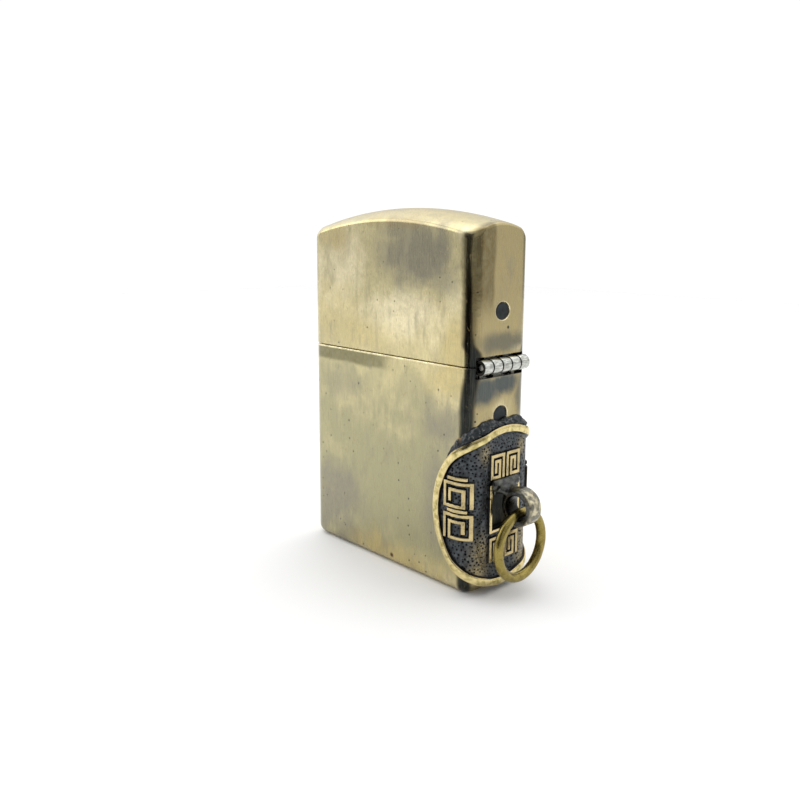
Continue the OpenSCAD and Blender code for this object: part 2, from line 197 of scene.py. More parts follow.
def turned(profile, origin, axis, segments=64):
    """A solid turned round an axis from a closed profile of (radius, distance along the axis)."""
    spin = Vector((0, 0, 1)).rotation_difference(Vector(axis)).to_matrix()
    return loft([
        [Vector(origin) + spin @ Vector((r * math.cos(a), r * math.sin(a), t)) for r, t in profile]
        for a in circle_steps(segments)
    ], round_rows=True)


def tube_profile(inner, outer, low, high, bevel):
    """The closed outline of a tube's wall, with its outer edges eased."""
    return [
        (inner, low), (outer - bevel, low), (outer - bevel * 0.3, low + bevel * 0.3),
        (outer, low + bevel), (outer, high - bevel),
        (outer - bevel * 0.3, high - bevel * 0.3), (outer - bevel, high), (inner, high),
    ]


def disc_profile(radius, low, high, bevel):
    """The outline of a solid round bar with eased edges; its axis points are merged by clean()."""
    return tube_profile(0, radius, low, high, bevel)


def block(low, high):
    """The points and faces of a box between two corners."""
    corners = [(x, y, z) for x in (low[0], high[0]) for y in (low[1], high[1]) for z in (low[2], high[2])]
    return corners, [(0, 1, 3, 2), (4, 6, 7, 5), (0, 4, 5, 1), (2, 3, 7, 6), (0, 2, 6, 4), (1, 5, 7, 3)]


def plate(shape, low, high):
    """A flat plate with an outline in X and Z, between two values of y."""
    return capped([[(x, y, z) for x, z in shape] for y in (low, high)])


def cut(obj, *cutters):
    """Takes the cutters' (points, faces) out of obj."""
    tools = [clean(new_object("cutter", *shape)) for shape in cutters]
    for tool in tools:
        modifier = obj.modifiers.new("cut", "BOOLEAN")
        modifier.operation = "DIFFERENCE"
        modifier.solver = "EXACT"
        modifier.object = tool
    apply_modifiers(obj)
    for tool in tools:
        bpy.data.objects.remove(tool)
    return obj


def soften(obj, width):
    """Rounds the sharp edges."""
    modifier = obj.modifiers.new("soften", "BEVEL")
    modifier.width = width
    modifier.segments = 2
    modifier.limit_method = "ANGLE"
    modifier.angle_limit = math.radians(35)
    modifier.harden_normals = False
    return apply_modifiers(obj)


def melt(obj, voxel, passes):
    """Makes one skin of the shape at a voxel size and relaxes it, so that its parts run together."""
    remesh = obj.modifiers.new("remesh", "REMESH")
    remesh.mode = "VOXEL"
    remesh.voxel_size = voxel
    relax = obj.modifiers.new("relax", "SMOOTH")
    relax.factor = 0.5
    relax.iterations = passes
    return apply_modifiers(obj)


def even_normals(obj):
    """Keeps flat faces flat next to rounded edges."""
    modifier = obj.modifiers.new("even_normals", "WEIGHTED_NORMAL")
    modifier.keep_sharp = True
    modifier.weight = 50
    return obj


# ---------- materials ----------


class Field:
    """A value that a node gives over a surface; sums and products with it add maths nodes."""

    def __init__(self, socket):
        self.socket = socket
        self.tree = socket.id_data

    def maths(self, operation, a, b=0.0):
        return output(self.tree, "Math", {0: a, 1: b}, operation=operation)

    def __add__(self, other):
        return self.maths("ADD", self, other)

    def __sub__(self, other):
        return self.maths("SUBTRACT", self, other)

    def __rsub__(self, other):
        return self.maths("SUBTRACT", other, self)

    def __mul__(self, other):
        return self.maths("MULTIPLY", self, other)

    def __truediv__(self, other):
        return self.maths("DIVIDE", self, other)

    def __pow__(self, other):
        return self.maths("POWER", self, other)

    def __abs__(self):
        return self.maths("ABSOLUTE", self)


def add(tree, kind, inputs=None, **settings):
    """A shader node with its settings and inputs; an input is a value, or a field to link."""
    made = tree.nodes.new("ShaderNode" + kind)
    for name, value in settings.items():
        setattr(made, name, value)
    for name, value in (inputs or {}).items():
        if isinstance(value, Field):
            tree.links.new(value.socket, made.inputs[name])
        else:
            made.inputs[name].default_value = value
    return made


def output(tree, kind, inputs=None, socket=0, **settings):
    """The field that a new node gives at one of its outputs."""
    return Field(add(tree, kind, inputs, **settings).outputs[socket])


def vector(operation, *values):
    """Vector maths on a field and perhaps a second value."""
    return output(values[0].tree, "VectorMath", dict(enumerate(values)), operation=operation)


def vector_value(operation, *values):
    """Vector maths whose result is a plain value."""
    settings = {"socket": "Value", "operation": operation}
    return output(values[0].tree, "VectorMath", dict(enumerate(values)), **settings)


def most(a, b):
    return a.maths("MAXIMUM", a, b)


def least(a, b):
    return a.maths("MINIMUM", a, b)


def length(a, b):
    """Distance from the origin of a point at a and b."""
    total = a ** 2 + b ** 2
    return total.maths("SQRT", total)


def new_material(name, **shader_values):
    """A material, its principled shader, and the place on the object in millimetres."""
    made = bpy.data.materials.new(name)
    made.use_nodes = True
    shader = made.node_tree.nodes["Principled BSDF"]
    for key, value in shader_values.items():
        shader.inputs[key.replace("_", " ")].default_value = value
    place = output(made.node_tree, "TexCoord", socket="Object")
    return made, shader, stretched(place, (1 / MM, 1 / MM, 1 / MM))


def stretched(place, scale):
    """The place with each axis scaled on its own, for streaks."""
    return vector("MULTIPLY", place, scale)


def cloud(place, scale, detail=4, rough=0.55, twist=0.0):
    """Noise between 0 and 1."""
    shape = {"Vector": place, "Scale": scale, "Detail": detail, "Roughness": rough, "Distortion": twist}
    return output(place.tree, "TexNoise", shape, socket="Fac")


def spread(value, low, high, to_low=0.0, to_high=1.0, smooth=True):
    """Maps low..high to to_low..to_high and stops there."""
    limits = {"Value": value, "From Min": low, "From Max": high, "To Min": to_low, "To Max": to_high}
    kind = "SMOOTHSTEP" if smooth else "LINEAR"
    return output(value.tree, "MapRange", limits, interpolation_type=kind)


def blend(amount, low, high):
    """The colour low where amount is 0 and high where it is 1."""
    colours = [value if isinstance(value, Field) else (*value, 1) for value in (low, high)]
    inputs = {"Factor": amount, 6: colours[0], 7: colours[1]}
    return output(amount.tree, "Mix", inputs, socket=2, data_type="RGBA")


def near(place, centre, size, ragged=None):
    """1 at a centre in millimetres, falling to 0 at the size given along each axis."""
    part = vector("DIVIDE", vector("SUBTRACT", place, centre), size)
    away = vector_value("LENGTH", part)
    if ragged is not None:
        away = away + ragged
    return spread(away, 1.0, 0.25)


def split(place):
    """The parts of a place along X, Y and Z, by name."""
    made = add(place.tree, "SeparateXYZ", {0: place})
    return {axis: Field(made.outputs[axis]) for axis in "XYZ"}


def attribute(tree, name):
    """A value kept in the mesh's points."""
    return output(tree, "Attribute", socket="Fac", attribute_name=name)


def bump(shader, height, strength, distance):
    """Fine relief on the shader, over any that it has; distance is in millimetres."""
    tree, normal = shader.id_data, shader.inputs["Normal"]
    made = add(tree, "Bump", {"Height": height, "Strength": strength, "Distance": distance * MM})
    if normal.is_linked:
        tree.links.new(normal.links[0].from_socket, made.inputs["Normal"])
    tree.links.new(made.outputs[0], normal)


def connect(shader, **fields):
    """Links fields to the shader's inputs of those names."""
    for name, field in fields.items():
        shader.id_data.links.new(field.socket, shader.inputs[name.replace("_", " ")])


PALE_GOLD = (0.72, 0.62, 0.34)
OLIVE_GOLD = (0.37, 0.345, 0.205)
CREAM = (0.90, 0.80, 0.52)
GOLD = (0.62, 0.51, 0.24)
SMOKE = (0.27, 0.25, 0.19)
STRIP = (0.185, 0.170, 0.085)
BROWN = (0.36, 0.25, 0.10)
SIDE_GOLD = (0.42, 0.34, 0.165)
SIDE_STRIP = (0.20, 0.155, 0.070)
BLUE_GREY = (0.085, 0.097, 0.094)
EDGE_BROWN = (0.13, 0.10, 0.042)
# black of pinholes, also used for painted shade and the painted dark reflection on the edges
BLACK_PITS_AND_SHADE = (0.010, 0.015, 0.018)
WARM_BLACK = (0.032, 0.023, 0.009)
# tones laid over the brass in turn, partly patina and partly painted light; each stain has a centre and a reach
# along X, Y and Z, in millimetres, and a strength
PATINA_AND_PAINTED_LIGHT = (
    (OLIVE_GOLD, (
        # painted reflection: the case's front, back and left side darker than the lid, for the dimmer reflection
        # they catch
        ((0, -6.5, 13), (60, 5, 27), 1.0),
        ((0, 6.5, 14), (60, 5, 24), 0.95),
        ((-19, 0, 16), (5, 9, 24), 0.85),
        # painted shade: a darker patch on the crown's left, for a dimmer reflection there
        ((-6, -4.5, 56.8), (16, 4, 2.4), 0.5),
    )),
    (CREAM, (
        # painted reflection: these four make the lower half of the lid's front paler
        ((-18, -6.5, 49), (3.5, 5, 9), 0.8),
        ((-11, -6.5, 49.5), (9, 4, 8), 0.9),
        ((5, -6.5, 41.5), (14, 4, 6), 0.9),
        ((15, -6.5, 44.5), (3, 4, 4), 0.5),
        # painted highlight at the lid's front-right top corner
        ((16.6, -6.5, 54.2), (2, 4, 1.6), 0.8),
        ((12, -6.5, 0.9), (14, 4, 3), 0.7),
        ((0, 0, 57.6), (22, 9, 3.2), 0.05),
        # painted reflection: the lid's back paler
        ((-5, 6.5, 47), (13, 4, 8), 0.6),
    )),
    (GOLD, (
        ((15.5, -6.5, 38), (4, 4, 5.5), 0.85),
        ((-8, -6.5, 37.5), (14, 4, 4), 0.6),
        ((14, -6.5, 32.5), (6, 3, 4), 0.8),
        ((5, -6.5, 1.0), (20, 4, 5), 1.0),
        ((-13, -6.5, 53.5), (6, 4, 3.5), 0.7),
        ((0, -2, 57.6), (26, 8, 3.0), 0.7),
        ((16, -6.5, 22), (1.6, 3, 6), 0.5),
        ((9, 6.5, 31), (12, 4, 5), 0.6),
    )),
    (STRIP, (
        ((8, 6.5, 34.0), (12, 4, 2.2), 0.8),
    )),
    (SMOKE, (
        ((7, -6.5, 51), (12, 4, 7.4), 0.95),
        ((3, -6.5, 54.5), (6, 4, 3), 0.8),
        ((12.5, -6.5, 47), (5, 4, 4), 0.6),
        ((-12, -6.5, 8.5), (8.5, 4, 10), 0.95),
        ((-16.5, -6.5, 4), (3.5, 4, 5), 0.95),
        ((12, -6.5, 12.5), (3.6, 4, 10.5), 0.85),
        ((14, -6.5, 26), (6, 4, 6), 0.85),
        ((-10, -6.5, 28), (6, 4, 5), 0.4),
        ((4, 6.5, 49), (11, 4, 6), 0.85),
        ((-9, 6.5, 12), (8, 4, 9), 0.7),
        ((-19, 1, 47), (3, 4, 7), 0.6),
        ((-19, -1, 14), (3, 4, 10), 0.55),
    )),
    (BROWN, (
        ((-11, -6.5, 52), (3.2, 4, 4.5), 0.25),
        ((4, -6.5, 55.6), (9, 4, 1.4), 0.4),
        ((-2, -6.5, 3.0), (8, 4, 3), 0.25),
        ((12, 6.5, 8), (7, 4, 8), 0.45),
        ((-14, 6.5, 51), (5, 4, 5), 0.4),
    )),
)
# stains of the hinge side, laid over its own gold, and painted shade in the coin's square hole
SIDE_PATINA_AND_SHADE = (
    (CREAM, (
        ((19, 0, 27.3), (2, 2.7, 2.7), 0.5),
        ((19, 3.6, 37.2), (2, 2.6, 0.8), 0.3),
        ((19, 0.5, 32.9), (2, 4.2, 0.6), 0.4),
    )),
    (BLUE_GREY, (
        ((19, -3.4, 31.4), (3, 4.4, 3.2), 1.0),
        ((19, 0.4, 32.2), (3, 5.4, 2.2), 1.0),
        ((19, 0, 38.2), (3, 8, 2.4), 0.7),
        ((19, 5, 30), (2, 2, 5), 0.7),
    )),
    (BLACK_PITS_AND_SHADE, (
        ((17.4, -6.3, 23.6), (2.0, 2.0, 2.6), 0.85),
        ((17.4, 6.3, 23.6), (2.0, 2.0, 2.6), 0.85),
        ((17.5, -6.3, 0.8), (2.6, 2.6, 2.4), 0.8),
        ((17.5, 6.3, 0.8), (2.6, 2.6, 2.4), 0.8),
        ((19, 0, 25.6), (2, 5.0, 1.4), 0.8),
        ((19, -4.4, 35.0), (2, 1.6, 1.8), 0.7),
        # painted shade: the case seen inside the coin's square hole
        ((19, 0, 13), (2, 6, 7), 1.0),
    )),
)


def laid_tones(place, colour, layers, ragged):
    """Lays each layer's tone over a colour where its spots are, stains and painted light alike; returns it and the
    last amount.
    """
    for tone, tone_spots in layers:
        amount = None
        for centre, size, strength in tone_spots:
            spot = near(place, centre, size, ragged) * strength
            amount = spot if amount is None else most(amount, spot)
        colour = blend(amount, colour, tone)
    return colour, amount


def edge_turn(place):
    """How far round an upright edge a point is: 0 at the hinge side, 90 at the front or back.

    Also returns 1 near those edges and 0 away from them, and the height.
    """
    axes = split(place)
    off_x = axes["X"] - (HALF_W - EDGE_R) / MM
    off_y = abs(axes["Y"]) - (HALF_D - EDGE_R) / MM
    turn = off_y.maths("ARCTAN2", off_y, off_x) * (180 / math.pi)
    return turn, spread(off_x, -1.5, 0.0), axes["Z"]


def painted_edge_reflection(place, colour, ragged):
    """Painted reflection: dark bands on the upright edges beside the hinge, olive brown and black, widest round
    the hinge.
    """
    turn, here, up = edge_turn(place)
    middle = spread(up, 46, 52, 57, 70) - spread(up, 38.5, 36.5, 0, 21)
    middle = middle + spread(up, 36, 29, 0, 24)
    off = abs(turn - middle) + ragged * 8
    here = here * spread(up, 55.2, 53.5)
    black = blend(spread(up, 36.5, 41), BLACK_PITS_AND_SHADE, WARM_BLACK)
    brown_line = (EDGE_BROWN, 34, spread(up, 52, 46, 0.3, 0.8))
    black_line = (black, spread(up, 41, 36.5, 15, 36), spread(up, 51, 44, 0.3, 0.96))
    for tone, width, strength in (brown_line, black_line):
        amount = spread(off / width, 1.0, 0.4, 0.0, strength)
        colour = blend(amount * here, colour, tone)
    return colour


def side_step(place, ragged):
    """The darker front third of the lid's hinge side, with a fairly crisp edge."""
    axes = split(place)
    across = axes["Y"] + ragged * 0.8
    return spread(across, -1.6, -2.4) * spread(axes["Z"], 41, 46)


def parting_strip(place, ragged):
    """The dark olive strip on the case's front, just under the lid and away from the hinge."""
    axes = split(place)
    low = axes["Z"] + ragged * 0.9
    reach = axes["X"] + ragged * 5
    strip = spread(low, 32.1, 32.9, 0.0, 0.92) * spread(reach, 4.5, -4)
    strip = strip * spread(axes["X"], -18.2, -16.8, 0.35, 1.0)
    strip = strip * spread(axes["Z"], LID_BOTTOM / MM, CASE_TOP / MM)
    return strip * spread(axes["Y"], -5.4, -6.2)


def rivet_rim(place, z):
    """1 on the edge round a rivet's seat, where a highlight is painted."""
    axes = split(place)
    up = (axes["Z"] - z) / RIVET_OVAL
    away = length(axes["Y"], up)
    off = abs(away - (RIVET_R / MM + 0.06))
    return spread(off, 0.13, 0.04, 0.0, 0.9) * spread(axes["X"], 18.2, 18.6)


def aged_brass():
    """Satin brass brushed upright, with smoky, brown and black patina, pinholes, fine scratches, and painted
    reflections, highlights and shade.
    """
    made, shader, place = new_material("aged_brass", Metallic=1.0, Roughness=0.33)
    wide = spread(cloud(place, 0.15, 4, 0.5, 0.5), 0.25, 0.75, -0.35, 0.35, smooth=False)
    drips = cloud(stretched(place, (1, 1, 0.3)), 0.55, 5, 0.6, 0.3)
    ragged = wide + spread(drips, 0.25, 0.75, -0.22, 0.22, smooth=False)
    mix = spread(cloud(place, 0.11, 4), 0.35, 0.65, 0.0, 0.35)
    colour = blend(mix, PALE_GOLD, OLIVE_GOLD)
    colour = laid_tones(place, colour, PATINA_AND_PAINTED_LIGHT, ragged)[0]
    side = spread(split(place)["X"], 17.3, 18.7)
    colour = blend(parting_strip(place, ragged), colour, STRIP)
    side_base = blend(side_step(place, ragged), SIDE_GOLD, SIDE_STRIP)
    colour = blend(side, colour, side_base)
    haze = spread(drips, 0.5, 0.72, 0.0, 0.4)
    colour = blend(haze, colour, SMOKE)
    mottle = spread(cloud(place, 1.3, 5, 0.7), 0.35, 0.7, 0.0, 0.3)
    colour = blend(mottle, colour, OLIVE_GOLD)
    side_colour, black = laid_tones(place, colour, SIDE_PATINA_AND_SHADE, ragged)
    colour = blend(side, colour, side_colour)
    black = black * side
    # painted reflection: dark bands down the upright edges
    colour = painted_edge_reflection(place, colour, ragged)
    # painted highlight: a bright ring round each rivet's seat
    for node in ("case_rivet", "lid_rivet"):
        colour = blend(rivet_rim(place, rivet_z(node) / MM), colour, CREAM)
    streaks = cloud(stretched(place, (8, 8, 0.25)), 1.0, 3, 0.7)
    colour = blend(spread(streaks, 0.35, 0.75, 0.0, 0.2), colour, SMOKE)
    cells = add(place.tree, "TexVoronoi", {"Vector": place, "Scale": 0.8}, feature="F1")
    chosen = spread(split(Field(cells.outputs["Color"]))["X"], 0.72, 0.74)
    hole = spread(Field(cells.outputs["Distance"]), 0.16, 0.08) * chosen
    colour = blend(hole * 0.8, colour, BLACK_PITS_AND_SHADE)
    colour = blend(near(place, (2.0, -6.5, 1.6), (0.6, 0.6, 0.6)), colour, (0.1, 0.05, 0.03))
    colour = blend(near(place, (19.05, 1.3, 40.4), (0.8, 0.35, 0.35)), colour, BLACK_PITS_AND_SHADE)
    # painted highlight: a broken bright line along the case's rim under the lid
    off = abs(split(place)["Z"] - (CASE_TOP / MM - 0.12))
    wear_and_highlight = spread(off, 0.22, 0.1, 0.0, 0.75) * spread(drips, 0.4, 0.55, 0.4, 1.0)
    colour = blend(wear_and_highlight * spread(split(place)["X"], 17, 10), colour, CREAM)
    bend = cloud(stretched(place, (1, 1, 0.35)), 0.8, 2, 0.5, 1.2)
    line = spread(abs(bend - 0.5), 0.006, 0.001)
    line = line * spread(cloud(place, 0.5, 2), 0.52, 0.62, 0.0, 0.6)
    colour = blend(line, colour, BROWN)
    connect(shader, Base_Color=colour)
    rough = spread(haze + black, 0.0, 1.0, 0.27, 0.4)
    rough = rough + spread(streaks, 0.3, 0.7, -0.04, 0.06)
    axes = split(place)
    off_x = abs(axes["X"]) - (HALF_W - EDGE_R) / MM
    off_y = abs(axes["Y"]) - (HALF_D - EDGE_R) / MM
    rounded = spread(least(off_x, off_y), 0.1, 0.8)
    rough = rough - rounded * 0.08
    connect(shader, Roughness=rough)
    bump(shader, streaks, 0.22, 0.02)
    bump(shader, cloud(place, 0.16, 3), 0.35, 0.25)
    bump(shader, cloud(place, 3.0, 4, 0.6), 0.25, 0.03)
    bump(shader, hole + line, 0.5, -0.06)
    return made


def plain_metal(name, colour, dark, roughness, grain=(3, 3, 3), dirt=0.35):
    """A worn metal: two tones, fine grain in the given direction and dirt in patches."""
    made, shader, place = new_material(name, Metallic=1.0, Roughness=roughness)
    patches = spread(cloud(place, 0.9, 5, 0.6, 0.4), 0.42, 0.72, 0.0, dirt)
    grains = cloud(stretched(place, grain), 1.6, 4, 0.7)
    mixed = blend(patches, colour, dark)
    mixed = blend(spread(grains, 0.35, 0.8, 0.0, 0.3), mixed, dark)
    rough = spread(grains, 0.3, 0.7, roughness - 0.07, roughness + 0.12)
    connect(shader, Base_Color=mixed, Roughness=rough)
    bump(shader, grains, 0.3, 0.02)
    bump(shader, cloud(place, 1.2, 3), 0.3, 0.05)
    return made


def hinge_nickel():
    """Bright plated barrels, with painted shade in the bores, at the seams and on the leaf inside the walls."""
    made, shader, place = new_material("hinge_nickel", Metallic=1.0, Roughness=0.2)
    axes = split(place)
    off_x = axes["X"] - HINGE.x / MM
    off_z = axes["Z"] - HINGE.z / MM
    away = length(off_x, off_z)
    turn = axes["Y"] / (BARREL_PITCH / MM) + 0.5
    turn = turn.maths("FRACT", turn)
    seam = least(turn, 1.0 - turn)
    grains = cloud(stretched(place, (5, 0.6, 5)), 1.6, 4, 0.7)
    spots = spread(cloud(place, 1.8, 4, 0.6), 0.5, 0.7, 0.0, 0.4)
    colour = blend(spread(grains, 0.38, 0.72, 0.0, 0.85), (0.6, 0.61, 0.57), (0.2, 0.2, 0.17))
    colour = blend(spots, colour, (0.25, 0.25, 0.2))
    # painted shade: dark at the seams, in the bores and on the leaf inside the walls
    dark = most(spread(seam, 0.085, 0.05), spread(away, 0.82, 0.7))
    inside = spread(axes["X"], 18.45, 18.15)
    dark = most(dark, inside * 0.93)
    colour = blend(dark, colour, (0.02, 0.019, 0.016))
    connect(shader, Base_Color=colour, Roughness=spread(grains, 0.3, 0.7, 0.14, 0.28))
    bump(shader, grains, 0.35, 0.03)
    return made


def bail_metal():
    """Dull dark metal, bright over the loop's outer face, partly wear and partly a painted highlight, and painted
    shade in its hole.
    """
    made, shader, place = new_material("bail_metal", Metallic=1.0, Roughness=0.3)
    axes = split(place)
    off_x = axes["X"] - RING_PIVOT.x / MM
    off_z = axes["Z"] - BAIL_Z / MM
    away = length(off_x, off_z)
    patches = cloud(place, 0.8, 5, 0.6, 0.5)
    fine = cloud(place, 5, 4, 0.65)
    colour = blend(spread(patches, 0.35, 0.65), (0.12, 0.12, 0.105), (0.05, 0.052, 0.052))
    # partly wear and partly a painted highlight: brighter over the loop's outer face, most towards +X
    wear_and_highlight = spread(away, 2.4, 2.8) * spread(off_x, -1.2, 0.9)
    wear_and_highlight = wear_and_highlight * spread(patches, 0.4, 0.62, 0.1, 1.0)
    colour = blend(wear_and_highlight, colour, (0.58, 0.52, 0.36))
    # painted shade: black inside the loop's hole
    colour = blend(spread(away, 2.15, 1.85), colour, (0.014, 0.013, 0.012))
    connect(shader, Base_Color=colour, Roughness=spread(fine, 0.3, 0.7, 0.22, 0.38))
    bump(shader, patches, 0.4, 0.12)
    bump(shader, fine, 0.3, 0.02)
    return made


def rough_solder():
    """Black lumpy solder with a few brown and scraped spots."""
    made, shader, place = new_material("rough_solder", Metallic=0.75, Roughness=0.55)
    lumps = cloud(place, 2.2, 6, 0.65, 0.3)
    colour = blend(spread(lumps, 0.5, 0.72), (0.035, 0.04, 0.045), (0.24, 0.25, 0.24))
    rust = near(place, (17.2, -6.2, 24.2), (0.9, 0.9, 1.0), spread(lumps, 0.3, 0.7, -0.3, 0.3))
    colour = blend(rust, colour, (0.24, 0.13, 0.045))
    connect(shader, Base_Color=colour, Roughness=spread(lumps, 0.3, 0.8, 0.42, 0.28))
    bump(shader, lumps, 0.7, 0.25)
    return made


def coin_brass():
    """Blackened field with brass showing where the relief and the rim are worn, and painted shade along the feet
    of the relief, frame and rim.
    """
    made, shader, place = new_material("coin_brass", Metallic=1.0, Roughness=0.4)
    raised, wear_and_highlight, sunk = [attribute(place.tree, name) for name in ("raised", "wear_and_highlight", "sunk")]
    mottle = cloud(place, 1.2, 5, 0.6, 0.3)
    fine = cloud(place, 6, 4, 0.6)
    field = blend(spread(mottle, 0.35, 0.7), (0.042, 0.046, 0.05), (0.098, 0.106, 0.112))
    relief = blend(spread(fine, 0.35, 0.75), (0.78, 0.63, 0.34), (0.5, 0.39, 0.17))
    rim = blend(spread(mottle, 0.4, 0.7), (0.74, 0.62, 0.3), (0.34, 0.28, 0.095))
    brass = blend(spread(raised, 0.86, 0.92), relief, rim)
    wear = wear_and_highlight * spread(fine, 0.35, 0.6)
    colour = blend(wear * 0.9, field, (0.46, 0.37, 0.19))
    # painted shade along the feet of the relief, frame and rim
    colour = blend(spread(sunk, 0.35, 1.0, 0.0, 0.92), colour, (0.006, 0.006, 0.007))
    colour = blend(spread(raised, 0.285, 0.19), colour, (0.009, 0.01, 0.013))
    top = raised + spread(fine, 0.2, 0.8, -0.05, 0.05)
    colour = blend(spread(top, 0.7, 0.84), colour, brass)
    connect(shader, Base_Color=colour, Roughness=spread(top, 0.5, 0.9, 0.38, 0.2))
    bump(shader, mottle, 0.45, 0.07)
    bump(shader, fine, 0.25, 0.02)
    return made


def cloth(name, colour, shade, scale, char_from=None, char_to=None):
    """A matte textile with fibre noise; a wick is charred between two heights in millimetres."""
    made, shader, place = new_material(name, Roughness=0.9)
    fibres = cloud(place, scale, 6, 0.7, 0.8)
    mixed = blend(spread(fibres, 0.35, 0.7), shade, colour)
    if char_from is not None:
        up = split(place)["Z"] + spread(fibres, 0.2, 0.8, -0.8, 0.8)
        mixed = blend(spread(up, char_from, char_to), mixed, (0.02, 0.018, 0.016))
    connect(shader, Base_Color=mixed, Roughness=spread(fibres, 0.2, 0.8, 0.8, 1.0))
    bump(shader, fibres, 0.8, 0.15)
    return made


def insert_steel(name, tint_from=None):
    """Satin steel; with tint_from, it is heat-coloured and sooty above that height in millimetres."""
    made, shader, place = new_material(name, Metallic=1.0, Roughness=0.3)
    streaks = cloud(stretched(place, (7, 7, 0.5)), 1.0, 4, 0.7)
    dirt = cloud(place, 0.4, 6, 0.6, 0.5)
    colour = blend(spread(streaks, 0.3, 0.8), (0.66, 0.65, 0.63), (0.46, 0.45, 0.43))
    colour = blend(spread(dirt, 0.5, 0.75, 0.0, 0.5), colour, (0.24, 0.21, 0.17))
    if tint_from is not None:
        up = split(place)["Z"] + spread(dirt, 0.2, 0.8, -3, 3)
        colour = blend(spread(up, tint_from, tint_from + 5, 0.0, 0.7), colour, (0.34, 0.24, 0.13))
        colour = blend(spread(up, tint_from + 3, tint_from + 9, 0.0, 0.85), colour, (0.06, 0.05, 0.05))
    connect(shader, Base_Color=colour, Roughness=spread(dirt, 0.3, 0.8, 0.24, 0.5))
    bump(shader, streaks, 0.25, 0.02)
    return made


# plain metals: colour, colour of the dirt, roughness, and for some the grain along X, Y and Z and
# how dirty the metal is
METALS = {
    "pin_steel": ((0.32, 0.31, 0.28), (0.10, 0.10, 0.09), 0.4),
    "dark_rivet": ((0.038, 0.043, 0.046), (0.012, 0.013, 0.013), 0.38, (5, 5, 5), 0.6),
    "ring_brass": ((0.33, 0.262, 0.078), (0.10, 0.075, 0.02), 0.25, (4, 4, 4), 0.55),
    "wheel_steel": ((0.30, 0.30, 0.30), (0.09, 0.085, 0.08), 0.4, (5, 5, 5), 0.6),
    "spring_steel": ((0.52, 0.52, 0.50), (0.20, 0.19, 0.17), 0.3),
    "inner_brass": ((0.72, 0.58, 0.28), (0.30, 0.23, 0.10), 0.3, (2, 2, 9)),
    "flint_metal": ((0.22, 0.21, 0.19), (0.08, 0.075, 0.07), 0.6, (4, 4, 4), 0.6),
}
MATERIALS = {name: plain_metal(name, *values) for name, values in METALS.items()}
MATERIALS.update({
    "aged_brass": aged_brass(),
    "hinge_nickel": hinge_nickel(),
    "coin_brass": coin_brass(),
    "solder": rough_solder(),
    "bail_metal": bail_metal(),
    "insert_steel": insert_steel("insert_steel"),
    "chimney_steel": insert_steel("chimney_steel", 43),
    "wick_cotton": cloth("wick_cotton", (0.80, 0.74, 0.60), (0.42, 0.36, 0.26), 4.0, 46.0, 47.6),
    "packing_cotton": cloth("packing_cotton", (0.86, 0.84, 0.78), (0.60, 0.57, 0.50), 1.6),
    "felt": cloth("felt", (0.62, 0.58, 0.48), (0.36, 0.33, 0.26), 3.0),
})
node_slots = {entry["node"]: entry["material_slot"] for entry in frame["record"]["subparts"]}


def place_piece(obj, body, slot, *nodes):
    """Gives a piece its material and slot, and makes it ride on its body and stand for its CAD nodes."""
    obj.data.materials.clear()
    obj.data.materials.append(MATERIALS[slot])
    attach(obj, body)
    if nodes:
        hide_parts(*nodes)
    return obj


# ---------- case and lid ----------


def plan(long_steps=30, short_steps=8, corner_steps=12):
    """Points round the case's plan, their outward normals, and 0 on the sides to 1 amid a corner."""
    points, normals, cornered = [], [], []
    x, y = HALF_W - EDGE_R, HALF_D - EDGE_R
    corners = ((x, y, 0), (-x, y, 90), (-x, -y, 180), (x, -y, 270))
    for index, (cx, cy, start) in enumerate(corners):
        out = Vector((math.cos(math.radians(start)), math.sin(math.radians(start))))
        begin, end = Vector(corners[index - 1][:2]), Vector((cx, cy))
        steps = short_steps if index % 2 == 0 else long_steps
        for k in range(steps):
            points.append(begin.lerp(end, k / steps) + out * EDGE_R)
            normals.append(out)
            cornered.append(0.0)
        for k in range(corner_steps):
            a = math.radians(start + 90 * k / corner_steps)
            out = Vector((math.cos(a), math.sin(a)))
            points.append(end + out * EDGE_R)
            normals.append(out)
            cornered.append(math.sin(math.pi * k / corner_steps))
    return points, normals, cornered


PLAN_POINTS, PLAN_NORMALS, PLAN_CORNERED = plan()


def outline(insets):
    """The plan moved inwards by an inset at each point, none of them over the upright edges' radius."""
    return [p - n * i for p, n, i in zip(PLAN_POINTS, PLAN_NORMALS, insets)]


def crown(x, y, inset):
    """Height of the lid's top, or of its inside when inset is the wall's thickness."""
    front_r = CROWN_FRONT_R - inset
    reach = CROWN_SIDE_R - CROWN_FRONT_R + math.sqrt(front_r ** 2 - y ** 2)
    return LID_TOP - CROWN_SIDE_R + math.sqrt(reach ** 2 - x ** 2)


def floor(_x, _y, inset):
    """Height of the case's bottom, or of its inside; it is the same at every place."""
    return inset


